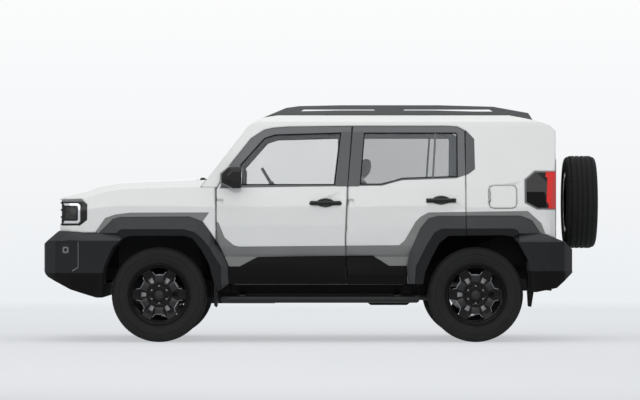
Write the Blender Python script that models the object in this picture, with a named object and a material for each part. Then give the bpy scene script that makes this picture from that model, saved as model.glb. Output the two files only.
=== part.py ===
"""Compact off-road car with a boxy body on a ladder frame.

Metres, +Z up. The front points to -X and the car's left side to -Y. The origin is on the ground
at the middle of the length and of the width. Each named object is one piece of the car.
"""

import math

import bmesh
import bpy
from mathutils import Matrix, Vector

# Wheels and axles
WHEELBASE = 2.580
FRONT_AXLE_X = -1.3325
TRACK = 1.545
TYRE_RADIUS = 0.3875
TYRE_WIDTH = 0.265
RIM_RADIUS = 0.250
BARREL_RADIUS = 0.2285
BARREL_WALL = 0.010
DISC_RADIUS = 0.165
KINGPIN_INSET = 0.0725

# Body reach before the front axle and behind the rear axle, and half-widths
FRONT_OVERHANG = 0.955
TAIL_OVERHANG = 0.6825
BODY_HALF = 0.892
FLARE_HALF = 0.9275
BONNET_HALF = 0.785
ROOF_PANEL_HALF = 0.630
TAILGATE_HALF = 0.680

# Heights of the body's lines
SILL_Z = 0.400
DOOR_BOTTOM_Z = 0.4745
CLADDING_TOP_Z = 0.695
CREASE_Z = 0.784
JOINT_Z = 0.888
BELT_Z = 1.265
GLASS_BOTTOM_Z = 1.278
GLASS_TOP_Z = 1.7116
DOOR_TOP_Z = 1.7600
SHOULDER_Z = 1.855
ROOF_Z = 1.885
RAIL_TOP_Z = 1.940

# Stations along the body
FIREWALL_X = -0.985
FRONT_DOOR_X = -0.8637
B_POST_X = 0.1930
REAR_DOOR_END_X = 1.1650
SPARE_Z = 1.149
SPARE_OFFSET = 0.0925

# Wall thicknesses and clearances
DOOR_WALL = 0.085
FRAME_WALL = 0.045
ROOF_WALL = 0.043
BONNET_WALL = 0.045
GLASS_WALL = 0.005
GLASS_INSET = 0.014
SHUT_GAP = 0.0058
EDGE_CLEARANCE = 0.0037
EDGE_CHAMFER = 0.010
TOP_GAP = 0.0155
SEAT_GAP = 0.0004
HINGE_BACK = 0.030
HINGE_INSET = 0.027
LINER_WALL = 0.010

# Derived places
REAR_AXLE_X = FRONT_AXLE_X + WHEELBASE
AXLE_Z = TYRE_RADIUS
WHEEL_Y = TRACK / 2
KINGPIN_Y = WHEEL_Y - KINGPIN_INSET
NOSE_X = FRONT_AXLE_X - FRONT_OVERHANG
TAIL_X = REAR_AXLE_X + TAIL_OVERHANG
FRONT_HINGE_X = FRONT_DOOR_X + HINGE_BACK
REAR_DOOR_X = B_POST_X + SHUT_GAP
REAR_HINGE_X = REAR_DOOR_X + HINGE_BACK
HINGE_Y = BODY_HALF - HINGE_INSET
SPARE_X = TAIL_X + SPARE_OFFSET + TYRE_WIDTH / 2
TAILGATE_HINGE_Y = TAILGATE_HALF + 0.012

# Colour, roughness and metallic value of each finish
FINISHES = {
    "body_paint": ((0.73, 0.735, 0.73), 0.30, 0.0),
    "cladding": ((0.045, 0.048, 0.052), 0.60, 0.0),
    "black_trim": ((0.012, 0.012, 0.013), 0.40, 0.0),
    "glass": ((0.45, 0.50, 0.50), 0.05, 0.0),
    "lamp_lens": ((0.60, 0.62, 0.64), 0.10, 0.0),
    "red_lens": ((0.60, 0.02, 0.015), 0.15, 0.0),
    "tyre_rubber": ((0.020, 0.020, 0.021), 0.85, 0.0),
    "wheel_black": ((0.015, 0.015, 0.016), 0.30, 0.6),
    "chassis_black": ((0.030, 0.030, 0.032), 0.55, 0.2),
    "cast_metal": ((0.25, 0.25, 0.25), 0.55, 0.8),
    "seat_fabric": ((0.060, 0.062, 0.066), 0.90, 0.0),
    "cabin_plastic": ((0.050, 0.050, 0.052), 0.70, 0.0),
}


def link(name, mesh):
    body = bpy.data.objects.new(name, mesh)
    bpy.context.scene.collection.objects.link(body)
    return body


def solid(vertices, faces):
    """A closed mesh object with its faces turned outwards."""
    shape = bmesh.new()
    points = [shape.verts.new(vertex) for vertex in vertices]
    for face in faces:
        shape.faces.new([points[index] for index in face])
    bmesh.ops.recalc_face_normals(shape, faces=shape.faces)
    mesh = bpy.data.meshes.new("shape")
    shape.to_mesh(mesh)
    shape.free()
    return link("shape", mesh)


def loft(rings):
    """A closed skin through rings of as many points each, with flat ends."""
    count = len(rings[0])
    vertices = [point for ring in rings for point in ring]
    faces = [list(range(count)), [len(vertices) - count + index for index in range(count)]]
    for start in range(0, len(vertices) - count, count):
        for index in range(count):
            after = (index + 1) % count
            faces.append([start + index, start + after, start + count + after, start + count + index])
    return solid(vertices, faces)


def place(axis, pair, along):
    """A point from its two coordinates across an axis and one along it."""
    first, second = pair
    return {"X": (along, first, second), "Y": (first, along, second), "Z": (first, second, along)}[axis]


def prism(axis, outline, low, high):
    """An outline across an axis, extruded from low to high along it."""
    return loft([[place(axis, pair, along) for pair in outline] for along in (low, high)])


def box(x, y, z):
    """A block from its (low, high) pairs along X, Y and Z."""
    return prism("Z", [(x[0], y[0]), (x[1], y[0]), (x[1], y[1]), (x[0], y[1])], z[0], z[1])


def ring_points(centre, axis, radius, sides):
    """Points of a circle about an axis vector, as corners of a regular polygon."""
    axis = Vector(axis).normalized()
    across = axis.orthogonal().normalized()
    points = []
    for index in range(sides):
        turn = Matrix.Rotation(2 * math.pi * (index + 0.5) / sides, 3, axis)
        points.append(Vector(centre) + turn @ across * radius)
    return points


def rod(start, end, radius, sides=12):
    """A round bar between two points."""
    axis = Vector(end) - Vector(start)
    return loft([ring_points(spot, axis, radius, sides) for spot in (start, end)])


def turned(profile, centre, sides):
    """A profile of (radius, y offset) pairs, closed on itself, turned about the Y axis at a centre."""
    x, y, z = centre
    rings = []
    for index in range(sides):
        angle = 2 * math.pi * index / sides
        rings.append(
            [(x + r * math.cos(angle), y + offset, z + r * math.sin(angle)) for r, offset in profile]
        )
    count = len(profile)
    vertices = [point for ring in rings for point in ring]
    faces = []
    for ring in range(sides):
        start, other = ring * count, (ring + 1) % sides * count
        for index in range(count):
            after = (index + 1) % count
            faces.append([start + index, start + after, other + after, other + index])
    return solid(vertices, faces)


def combine(target, operation, tools):
    """Applies exact Booleans to the target and removes the tools."""
    for tool in tools:
        modifier = target.modifiers.new("Boolean", "BOOLEAN")
        modifier.operation = operation
        modifier.solver = "EXACT"
        modifier.object = tool
    bpy.context.view_layer.update()
    graph = bpy.context.evaluated_depsgraph_get()
    mesh = bpy.data.meshes.new_from_object(target.evaluated_get(graph))
    target.modifiers.clear()
    target.data = mesh
    for tool in tools:
        bpy.data.objects.remove(tool)
    return target


def cut(target, *tools):
    return combine(target, "DIFFERENCE", tools)


def join(target, *tools):
    return combine(target, "UNION", tools)


def common(target, *tools):
    return combine(target, "INTERSECT", tools)


def copy_of(body):
    return link("copy", body.data.copy())


def moved(body, *steps):
    for step in steps:
        body.data.transform(step)
    return body


def mirrored(body):
    """A copy of a left-hand piece for the right-hand side."""
    twin = copy_of(body)
    twin.data.transform(Matrix.Scale(-1, 4, (0, 1, 0)))
    twin.data.flip_normals()
    return twin


def finish_of(name):
    """The material of a finish, made when it is first asked for."""
    if name in bpy.data.materials:
        return bpy.data.materials[name]
    colour, roughness, metallic = FINISHES[name]
    made = bpy.data.materials.new(name)
    made.use_nodes = True
    shader = made.node_tree.nodes["Principled BSDF"]
    shader.inputs["Base Color"].default_value = (*colour, 1.0)
    shader.inputs["Roughness"].default_value = roughness
    shader.inputs["Metallic"].default_value = metallic
    made.diffuse_color = (*colour, 1.0)
    return made


def publish(name, body, finish, origin=(0, 0, 0)):
    """Names a finished piece, moves its origin to a point and gives it its own material."""
    shape = bmesh.new()
    shape.from_mesh(body.data)
    bmesh.ops.remove_doubles(shape, verts=shape.verts, dist=1e-6)
    bmesh.ops.dissolve_limit(shape, angle_limit=1e-4, verts=shape.verts, edges=shape.edges)
    bmesh.ops.triangulate(shape, faces=shape.faces)
    shape.to_mesh(body.data)
    shape.free()
    body.data.transform(Matrix.Translation(-Vector(origin)))
    body.location = origin
    body.name = name
    body.data.name = name
    own = finish_of(finish).copy()
    own.name = name + "_finish"
    body.data.materials.clear()
    body.data.materials.append(own)
    body.data.shade_smooth()
    body.data.set_sharp_from_angle(angle=math.radians(32))
    return body


def publish_pair(name, left, finish, origin=(0, 0, 0)):
    """Publishes a left-hand piece and its twin on the right."""
    right = mirrored(left)
    x, y, z = origin
    publish("left_" + name, left, finish, origin)
    publish("right_" + name, right, finish, (x, -y, z))


def offset_outline(outline, distance):
    """The closed outline moved outwards by a distance, corners mitred; it runs counter-clockwise."""
    moved = []
    for index, point in enumerate(outline):
        before = Vector(outline[index - 1])
        here = Vector(point)
        after = Vector(outline[(index + 1) % len(outline)])
        first = (here - before).normalized()
        second = (after - here).normalized()
        normal = Vector((first.y + second.y, -first.x - second.x)).normalized()
        reach = distance / max(0.35, normal.dot(Vector((first.y, -first.x))))
        moved.append(tuple(here + normal * reach))
    return moved


# Wheel arch openings, as (x, z) from the wheel's centre, counter-clockwise from the rear foot
FRONT_ARCH = [
    (0.4925, -0.36), (0.4925, 0.0125), (0.4525, 0.0855), (0.4125, 0.2433), (0.3445, 0.3711),
    (0.2750, 0.4595), (0.2058, 0.4815), (-0.2375, 0.4801), (-0.2972, 0.4595),
    (-0.3761, 0.3805), (-0.4355, 0.2530), (-0.4550, 0.1845), (-0.4575, -0.36),
]
REAR_ARCH = [
    (0.4525, -0.36), (0.4405, 0.1845), (0.4160, 0.2985), (0.3501, 0.4150), (0.3005, 0.4735),
    (0.2335, 0.4855), (-0.2229, 0.4815), (-0.2975, 0.4232), (-0.3645, 0.2985),
    (-0.4145, 0.1845), (-0.4362, 0.0545), (-0.4362, -0.36),
]

# The front door's lower leading edge, as (x, z), which the front flare ends at
DOOR_LOWER_EDGE = [
    (FRONT_DOOR_X, 0.830),
    (FRONT_DOOR_X + 0.0387, 0.761),
    (FRONT_DOOR_X + 0.0997, 0.621),
    (FRONT_DOOR_X + 0.1037, DOOR_BOTTOM_Z),
]

# Outer edge and step line of each flare, as (x, z) from the wheel's centre, rear to front
REAR_FLARE_EDGE = [
    (0.5295, JOINT_Z - AXLE_Z - 0.002), (0.4575, 0.6065), (0.3663, 0.6435), (-0.3060, 0.6435),
    (-0.3845, 0.6242), (-0.4495, 0.5460), (-0.5395, 0.3395), (-0.5655, 0.2415),
    (-0.5475, DOOR_BOTTOM_Z - AXLE_Z),
]
REAR_FLARE_STEP = [
    (0.3540, JOINT_Z - AXLE_Z - 0.002), (0.3350, 0.5300), (0.3000, 0.5405), (-0.2800, 0.5405),
    (-0.3400, 0.5350), (-0.4000, 0.4900), (-0.4900, 0.3200), (-0.5150, 0.2300),
    (-0.5000, DOOR_BOTTOM_Z - AXLE_Z),
]
REAR_FLARE_FOOT = [
    (-0.4320, DOOR_BOTTOM_Z - AXLE_Z), (-0.4145, 0.1845), (-0.3645, 0.2985), (-0.2975, 0.4232),
    (-0.2229, 0.4815), (0.2335, 0.4855), (0.3005, 0.4735), (0.3500, JOINT_Z - AXLE_Z - 0.006),
]
FRONT_FLARE_STEP = [
    (0.5100, DOOR_BOTTOM_Z - AXLE_Z), (0.5070, 0.2300), (0.4500, 0.3200), (0.4100, 0.3900),
    (0.3400, 0.4700), (0.2900, 0.5100), (0.2000, 0.5345), (-0.3000, 0.5345),
    (-0.3330, 0.5200), (-0.3450, JOINT_Z - AXLE_Z),
]
FRONT_FLARE_FOOT = [
    (-0.3370, JOINT_Z - AXLE_Z), (-0.2972, 0.4595), (-0.2375, 0.4801), (0.2058, 0.4815),
    (0.2750, 0.4595), (0.3445, 0.3711), (0.4125, 0.2433), (0.4525, 0.0855),
    (0.4850, 0.0262),
]


def front_flare_edge():
    lower = [(x - SHUT_GAP - FRONT_AXLE_X, z - AXLE_Z) for x, z in reversed(DOOR_LOWER_EDGE)]
    upper = [(0.4125, 0.5192), (0.3540, 0.5981), (0.2450, 0.6372), (-0.3165, 0.6323)]
    return lower + upper + [(-0.3761, 0.6155), (-0.4920, JOINT_Z - AXLE_Z)]


def at_axle(axle_x, outline):
    return [(axle_x + x, AXLE_Z + z) for x, z in outline]


def both_sides(half):
    """A whole section from its half, given from the foot to the middle of the top."""
    return [(-y, z) for y, z in half] + [(y, z) for y, z in reversed(half) if y > 0]


# Half-section of the body's skin, as (half-width, height), foot to roof
def skin_section():
    return [
        (BODY_HALF - 0.092, SILL_Z), (BODY_HALF - 0.037, DOOR_BOTTOM_Z),
        (BODY_HALF - 0.020, 0.550), (BODY_HALF - 0.024, CLADDING_TOP_Z),
        (BODY_HALF - 0.044, CLADDING_TOP_Z + 0.004), (BODY_HALF - 0.007, CREASE_Z),
        (BODY_HALF, 0.950), (BODY_HALF - 0.004, 1.100), (BODY_HALF - 0.024, BELT_Z),
        (BODY_HALF - 0.127, DOOR_TOP_Z), (BODY_HALF - 0.147, DOOR_TOP_Z + 0.040),
        (ROOF_PANEL_HALF + 0.030, SHOULDER_Z), (0.450, ROOF_Z - 0.010), (0.0, ROOF_Z),
    ]


def hollow_section():
    """The cabin's inner half-section: the skin less the walls."""
    return [
        (BODY_HALF - 0.092 - DOOR_WALL, SILL_Z - 0.10), (BODY_HALF - 0.092 - DOOR_WALL, SILL_Z),
        (BODY_HALF - 0.037 - DOOR_WALL, DOOR_BOTTOM_Z), (BODY_HALF - 0.020 - DOOR_WALL, 0.550),
        (BODY_HALF - 0.007 - DOOR_WALL, CREASE_Z), (BODY_HALF - DOOR_WALL, 0.950),
        (BODY_HALF - 0.024 - DOOR_WALL, BELT_Z - 0.010),
        (BODY_HALF - 0.026 - FRAME_WALL, BELT_Z + 0.010),
        (BODY_HALF - 0.127 - FRAME_WALL, DOOR_TOP_Z),
        (BODY_HALF - 0.147 - FRAME_WALL, DOOR_TOP_Z + 0.040 - 0.015),
        (ROOF_PANEL_HALF, SHOULDER_Z - ROOF_WALL), (0.450, ROOF_Z - 0.010 - ROOF_WALL),
        (0.0, ROOF_Z - ROOF_WALL),
    ]


# The windscreen's plane, through (WINDSCREEN_FOOT_X, WINDSCREEN_FOOT_Z) at WINDSCREEN_RAKE rise per run
WINDSCREEN_FOOT_X = -0.930
WINDSCREEN_FOOT_Z = 1.345
WINDSCREEN_RAKE = 1.2923
WINDSCREEN_TOP_Z = 1.765
PILLAR_BASE_Z = 1.2620


def windscreen_x(z, inset=0.0):
    """X of the windscreen's plane at a height, moved inwards by an inset along its normal."""
    slope = math.hypot(1.0, WINDSCREEN_RAKE)
    return WINDSCREEN_FOOT_X + (z - WINDSCREEN_FOOT_Z) / WINDSCREEN_RAKE + inset * slope / WINDSCREEN_RAKE


# Roof line, as (x, drop below the roof's height); the last rows are behind the tail's corner
ROOF_LINE = [
    (WINDSCREEN_FOOT_X + 0.441, 0.049), (-0.300, 0.019), (0.000, 0.006), (0.450, -0.010),
    (TAIL_X - 0.650, -0.010), (TAIL_X - 0.450, 0.020), (TAIL_X - 0.310, 0.047),
    (TAIL_X - 0.180, 0.075), (TAIL_X - 0.070, 0.115), (TAIL_X - 0.025, 0.165),
]
# Rear face, as (x before the tail, z)
REAR_LINE = [(0.015, 1.530), (0.000, 1.300), (-0.004, 0.870), (0.030, SILL_Z - 0.02)]


def cabin_profile(wall=0.0):
    """Side view of the cabin's skin, or of its hollow when a wall is given, as (x, z)."""
    low = SILL_Z - 0.02 - (0.1 if wall else 0.0)
    front = FIREWALL_X + wall
    inset = 0.050 if wall else 0.0
    roof = [(x + wall * 0.4 * (x < 0), ROOF_Z - drop - wall) for x, drop in ROOF_LINE[:-2]]
    corner = [(x - wall, ROOF_Z - drop - wall * 0.5) for x, drop in ROOF_LINE[-2:]]
    rear = [(TAIL_X - x - wall * 2, z) for x, z in REAR_LINE]
    foot_z = WINDSCREEN_FOOT_Z + (front - windscreen_x(WINDSCREEN_FOOT_Z, inset)) * WINDSCREEN_RAKE
    top_z = WINDSCREEN_TOP_Z - wall * 0.7
    outline = [(front, low), (front, foot_z), (windscreen_x(top_z, inset), top_z)]
    outline += roof + corner + rear[:-1] + [(rear[-1][0], low)]
    return outline


# Plan of the body's rear corners, as (x, y) from the tail
def cabin_plan():
    half = [(FIREWALL_X - 0.1, 1.0), (TAIL_X - 0.075, 1.0), (TAIL_X - 0.075, BODY_HALF),
            (TAIL_X - 0.030, BODY_HALF - 0.070), (TAIL_X - 0.014, TAILGATE_HALF), (TAIL_X + 0.006, 0.0)]
    return half + [(x, -y) for x, y in reversed(half[:-1])]


def cabin_skin():
    section = prism("X", both_sides(skin_section()), FIREWALL_X - 0.05, TAIL_X + 0.10)
    profile = prism("Y", cabin_profile(), -1.1, 1.1)
    return common(section, profile, prism("Z", cabin_plan(), 0.2, 2.1))


def cabin_hollow():
    section = prism("X", both_sides(hollow_section()), FIREWALL_X - 0.05, TAIL_X + 0.10)
    return common(section, prism("Y", cabin_profile(FRAME_WALL), -1.0, 1.0))


def cabin_shell():
    return cut(cabin_skin(), cabin_hollow())


def left_half(y_inner, x=(-3.0, 3.0), z=(0.0, 3.0)):
    return box(x, (-1.3, -y_inner), z)


# Door outlines, as (x, z), clockwise from the foot of the leading edge
def front_door_outline():
    top = [
        (FRONT_DOOR_X, PILLAR_BASE_Z - 0.018), (-0.7709, 1.4186), (-0.5829, 1.6587),
        (-0.4771, 1.7270), (-0.4022, 1.7450), (-0.2818, DOOR_TOP_Z - 0.006),
        (B_POST_X + 0.0526 + SHUT_GAP - TOP_GAP, DOOR_TOP_Z),
    ]
    back = B_POST_X - EDGE_CLEARANCE
    return list(reversed(DOOR_LOWER_EDGE)) + top + [(back + 0.0100, BELT_Z), (back - 0.008, 0.83), (back, DOOR_BOTTOM_Z)]


def rear_door_outline():
    arch = [(REAR_AXLE_X + x, AXLE_Z + z) for x, z in reversed(REAR_FLARE_FOOT) if x < -0.20]
    return [
        (REAR_DOOR_X, DOOR_BOTTOM_Z), (REAR_DOOR_X - 0.008, 0.83), (REAR_DOOR_X + 0.0100, BELT_Z),
        (REAR_DOOR_X + 0.0526, DOOR_TOP_Z), (1.0278, DOOR_TOP_Z),
        (1.1035, DOOR_TOP_Z - 0.007), (REAR_DOOR_END_X - 0.008, DOOR_TOP_Z - 0.040),
        (REAR_DOOR_END_X, BELT_Z), (REAR_DOOR_END_X, AXLE_Z + 0.4815),
    ] + arch


def rear_edge_chamfer():
    """Takes the outer corner off the rear door's leading edge, so that it turns clear of the front door."""
    rows = [(half, z) for half, z in skin_section() if DOOR_BOTTOM_Z < z < BELT_Z]
    rows = [(BODY_HALF - 0.040, DOOR_BOTTOM_Z - 0.02)] + rows + [(BODY_HALF - 0.024, BELT_Z + 0.001)]
    rows.insert(5, (BODY_HALF - 0.005, 0.83))
    rings = []
    for half, z in rows:
        share = (z - DOOR_BOTTOM_Z) / (0.83 - DOOR_BOTTOM_Z) if z < 0.83 else (z - 0.83) / (BELT_Z - 0.83)
        x = REAR_DOOR_X - 0.008 * share if z < 0.83 else REAR_DOOR_X - 0.008 + 0.018 * share
        far = EDGE_CHAMFER + 0.010
        rings.append([(x - 0.010, -half + far, z), (x - 0.010, -half - 0.010, z), (x + far, -half - 0.010, z)])
    return loft(rings)


def doors_aperture(outline, back):
    """The outline grown by the shut gap, and by the wider gap that the door's swing needs behind its top."""
    grown = offset_outline(list(reversed(outline)), SHUT_GAP)
    return [(x + (TOP_GAP - SHUT_GAP) * (x > back - 0.05 and z > BELT_Z + 0.2), z) for x, z in grown]


FRONT_GLASS = [
    (-0.665, GLASS_BOTTOM_Z), (0.104, GLASS_BOTTOM_Z), (0.155, GLASS_TOP_Z),
    (-0.388, GLASS_TOP_Z - 0.015), (-0.477, 1.667), (-0.673, 1.448),
]
REAR_GLASS = [
    (0.301, GLASS_BOTTOM_Z + 0.004), (0.478, GLASS_BOTTOM_Z + 0.004), (0.560, 1.302), (0.652, 1.330),
    (1.1035, 1.345), (1.1035, GLASS_TOP_Z - 0.015), (1.088, GLASS_TOP_Z), (0.336, GLASS_TOP_Z),
]


def side_pane(outline):
    """Window glass that follows the tumblehome, a little smaller than its opening."""
    low_y = BODY_HALF - 0.024 - GLASS_INSET
    lean = (0.127 - 0.024) / (DOOR_TOP_Z - BELT_Z)
    section = []
    for y, z in ((low_y, BELT_Z - 0.05), (low_y, BELT_Z + 0.60)):
        section.append((-(y - lean * (z - BELT_Z)), z))
    section += [(y + GLASS_WALL, z) for y, z in reversed(section)]
    pane = prism("X", section, -1.0, 1.4)
    return common(pane, prism("Y", offset_outline(outline, -SEAT_GAP), -1.1, -0.5))


def hinge_relief(x, y, z_low, z_high):
    """The space that a door's leading edge sweeps as it turns in."""
    reach = math.hypot(HINGE_BACK, HINGE_INSET) + 0.0052
    return rod((x, y, z_low), (x, y, z_high), reach, 24)


def trailing_relief(x, y_inner):
    """Takes the inner corner off a door's trailing edge, so that it swings clear."""
    return box((x - 0.007, x + 0.08), (-y_inner, -0.5), (0.30, 1.30))


def edge_half(x, z):
    """Half-width of a flare's edge; beside the front door's foot it stands in for the door's swing."""
    if abs(x - FRONT_DOOR_X - 0.045) > 0.075 or z > 0.86:
        return BODY_HALF - 0.004
    return HINGE_Y - 0.022 * (z > 0.74)


def flare_plate(edge, step, foot, axle_x):
    """A flare: its outer edge at the body's side, sloping out to the step line."""
    inner = at_axle(axle_x, edge + foot)
    outer = at_axle(axle_x, step + foot)
    plate = [[(x, -BODY_HALF + 0.087, z) for x, z in inner]]
    plate.append([(x, -edge_half(x, z), z) for x, z in inner])
    plate.append([(x, -FLARE_HALF, z) for x, z in outer])
    return loft(plate)


def front_flare():
    return flare_plate(front_flare_edge(), FRONT_FLARE_STEP, FRONT_FLARE_FOOT, FRONT_AXLE_X)


def rear_flare():
    edge = REAR_FLARE_EDGE
    return flare_plate(edge, REAR_FLARE_STEP, REAR_FLARE_FOOT, REAR_AXLE_X)


# Body hinges: heights of each pair as (low, high), the pin's radius and the arm's half-width
DOOR_HINGES = [(0.900, 0.955), (1.110, 1.165)]
PIN_RADIUS = 0.012
ARM_HALF = 0.006
ARM_TOP = 0.007


def hinge_pocket(x, edge_x, low, high):
    """The recess in a door's leading edge that its hinge stands in."""
    return box((edge_x - 0.02, x + 0.026), (-HINGE_Y - 0.015, -0.60), (low, high))


def hinge_arm(x, root_x, root_y, low, high):
    """The body's half of a hinge: a pin and the arm that carries it."""
    pin = rod((x, -HINGE_Y, low + SEAT_GAP), (x, -HINGE_Y, high - SEAT_GAP), PIN_RADIUS, 12)
    outline = [
        (x - ARM_HALF, -HINGE_Y), (x + ARM_HALF, -HINGE_Y),
        (root_x + ARM_HALF, -root_y), (root_x - ARM_HALF, -root_y),
    ]
    return join(pin, prism("Z", outline, low + ARM_TOP, high - ARM_TOP))


def arch_band(arch, axle_x, y_inner, y_outer):
    """A wheelhouse skin just outside an arch opening."""
    outer = prism("Y", at_axle(axle_x, offset_outline(arch, LINER_WALL)), -y_outer, -y_inner)
    inner = prism("Y", at_axle(axle_x, arch), -y_outer - 0.1, -y_inner + 0.1)
    return cut(outer, inner)


# Windscreen opening across the car, as (half-width, z), foot and head
WINDSCREEN_OPENING = [(0.765, 1.290), (0.668, 1.772)]
TAILGATE_LOW_Z = 0.865
TAILGATE_HIGH_Z = 1.770
LID_LOW, LID_HIGH = (1.357, 1.093), (1.580, 1.276)
LID_WALL = 0.003
REAR_LAMP = [
    (1.6471, 1.325), (1.730, 1.396), (1.96, 1.392), (1.96, 1.081), (1.746, 1.081), (1.6471, 1.134),
]
WHEELHOUSE_Y = 0.560
SILL_INNER_Y = 0.700
PILLAR_Y = 0.765
LOAD_FLOOR_Z = 0.620


def quad(half_low, z_low, half_high, z_high):
    """A trapezoid across the car, as (y, z)."""
    return [(-half_low, z_low), (half_low, z_low), (half_high, z_high), (-half_high, z_high)]


def windscreen_opening(grow=0.0):
    (low, low_z), (high, high_z) = WINDSCREEN_OPENING
    return prism("X", quad(low + grow, low_z - grow, high + grow, high_z + grow), -1.2, -0.45)


def lamp_block():
    """The rear lamp's space in the body's corner."""
    return prism("Y", REAR_LAMP, -1.0, -0.715)


def lid_outline(grow=0.0):
    (x0, z0), (x1, z1) = LID_LOW, LID_HIGH
    corner = 0.035
    points = []
    for cx, cz, start in ((x1, z0, -90), (x1, z1, 0), (x0, z1, 90), (x0, z0, 180)):
        inward_x = -corner if cx == x1 else corner
        inward_z = -corner if cz == z1 else corner
        for step in range(3):
            angle = math.radians(start + 45 * step)
            reach = corner + grow
            points.append((cx + inward_x + reach * math.cos(angle), cz + inward_z + reach * math.sin(angle)))
    return points


def quarter_flare_cut():
    """Room in the quarter panel for the rear flare."""
    outline = at_axle(REAR_AXLE_X, REAR_FLARE_EDGE + REAR_FLARE_FOOT)
    return prism("Y", offset_outline(outline, SEAT_GAP), -1.1, -BODY_HALF + 0.090)


def body_side():
    """Pillars, sill, roof edge, quarter panel and wheelhouse of the left side, as one pressing."""
    side = common(cabin_shell(), left_half(ROOF_PANEL_HALF))
    cut(
        side,
        prism("Y", doors_aperture(front_door_outline(), B_POST_X), -1.2, -0.5),
        prism("Y", doors_aperture(rear_door_outline(), REAR_DOOR_END_X), -1.2, -0.5),
        windscreen_opening(),
        box((TAIL_X - 0.35, TAIL_X + 0.2), (-TAILGATE_HALF - 0.006, 0.0),
            (TAILGATE_LOW_Z - 0.006, TAILGATE_HIGH_Z + 0.006)),
        box((FIREWALL_X - 0.1, FRONT_DOOR_X + 0.12), (-1.2, -PILLAR_Y - 0.0195), (0.2, PILLAR_BASE_Z)),
        box((FIREWALL_X - 0.1, FIREWALL_X + FRAME_WALL + 0.001), (-0.700, 0.0), (0.2, 1.250)),
        quarter_flare_cut(),
        lamp_block(),
    )
    sill = box((FIREWALL_X, REAR_AXLE_X - 0.4200), (-PILLAR_Y + 0.005, -SILL_INNER_Y), (SILL_Z + 0.01, 0.56))
    hinge_post = box((FIREWALL_X, FRONT_DOOR_X - 0.02), (-PILLAR_Y - 0.0165, -0.690), (0.45, 1.270))
    b_pillar = prism(
        "X",
        [(-0.750, 0.420), (-0.7595, 0.4745), (-0.7655, 0.500), (-0.775, 0.600), (-0.775, BELT_Z), (-0.712, DOOR_TOP_Z), (-0.700, 1.828),
         (-0.655, 1.828), (-0.662, DOOR_TOP_Z), (-0.725, BELT_Z), (-0.725, 0.600), (-0.715, 0.420)],
        B_POST_X - 0.060, B_POST_X + 0.080,
    )
    join(
        side, sill, hinge_post, b_pillar,
        arch_band(REAR_ARCH, REAR_AXLE_X, WHEELHOUSE_Y, PILLAR_Y - 0.0005),
        common(arch_band(REAR_ARCH, REAR_AXLE_X, PILLAR_Y - 0.02, BODY_HALF - 0.0905),
               box((REAR_DOOR_END_X + 0.012, TAIL_X), (-1.0, -0.5), (0.3, 1.0))),
        box((REAR_DOOR_END_X + 0.012, TAIL_X - 0.15), (-BODY_HALF + 0.0905, -PILLAR_Y + 0.02),
            (AXLE_Z + 0.4860, 1.060)),
        box((REAR_DOOR_END_X + 0.012, TAIL_X - 0.15), (-BODY_HALF + 0.060, -PILLAR_Y - 0.01), (1.038, 1.060)),
        common(
            prism("Y", at_axle(REAR_AXLE_X, offset_outline(REAR_ARCH, LINER_WALL * 0.5)),
                  -WHEELHOUSE_Y - 0.008, -WHEELHOUSE_Y),
            box((0.5, 2.0), (-1.0, 0.0), (LOAD_FLOOR_Z, 1.0)),
        ),
    )
    for low, high in DOOR_HINGES:
        join(side, hinge_arm(FRONT_HINGE_X, FRONT_DOOR_X - 0.026, PILLAR_Y, low, high))
        join(side, hinge_arm(REAR_HINGE_X, REAR_HINGE_X, PILLAR_Y, low, high))
    cut(
        side,
        prism("Y", at_axle(REAR_AXLE_X, REAR_ARCH), -1.2, -WHEELHOUSE_Y - 0.008),
        prism("Y", at_axle(FRONT_AXLE_X, offset_outline(FRONT_ARCH, LINER_WALL + SEAT_GAP)), -1.2, -0.4),
        prism("Y", offset_outline(rear_bumper_outline(), SEAT_GAP), -1.2, -0.5),
        box((TAIL_X - 0.22, TAIL_X + 0.2), (-TAILGATE_HALF - 0.0065, 0.0), (0.2, TAILGATE_LOW_Z + 0.001)),
        box((REAR_AXLE_X - 0.4575, TAIL_X), (-1.2, -0.4), (-0.1, DOOR_BOTTOM_Z)),
        box((REAR_AXLE_X + 0.430, TAIL_X), (-1.2, -0.4), (0.4, 0.600)),
        box((REAR_AXLE_X + 0.290, REAR_AXLE_X + 0.350), (-1.2, -0.785), (0.8, JOINT_Z - 0.001)),
    )
    return side


def door(outline, glass, hinge_x, edge_x, end_x):
    """A door as thick as its wall, with its window cut and its hinge recesses."""
    panel = common(cabin_shell(), prism("Y", outline, -1.2, -0.5))
    cut(panel, prism("Y", glass, -1.2, -0.5), trailing_relief(end_x, BODY_HALF - 0.047))
    for low, high in DOOR_HINGES:
        cut(panel, hinge_pocket(hinge_x, edge_x, low, high))
    return panel


def front_door():
    return door(front_door_outline(), FRONT_GLASS, FRONT_HINGE_X, FRONT_DOOR_X, B_POST_X)


def rear_door():
    panel = door(rear_door_outline(), REAR_GLASS, REAR_HINGE_X, REAR_DOOR_X, REAR_DOOR_END_X)
    flare = common(rear_flare(), box((0.5, REAR_DOOR_END_X), (-1.0, -0.81), (0.3, 1.2)))
    return join(cut(panel, rear_edge_chamfer()), flare)


def quarter_flare():
    return common(rear_flare(), box((REAR_DOOR_END_X + SHUT_GAP, 2.0), (-1.0, -0.5), (0.3, 1.2)))


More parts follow.
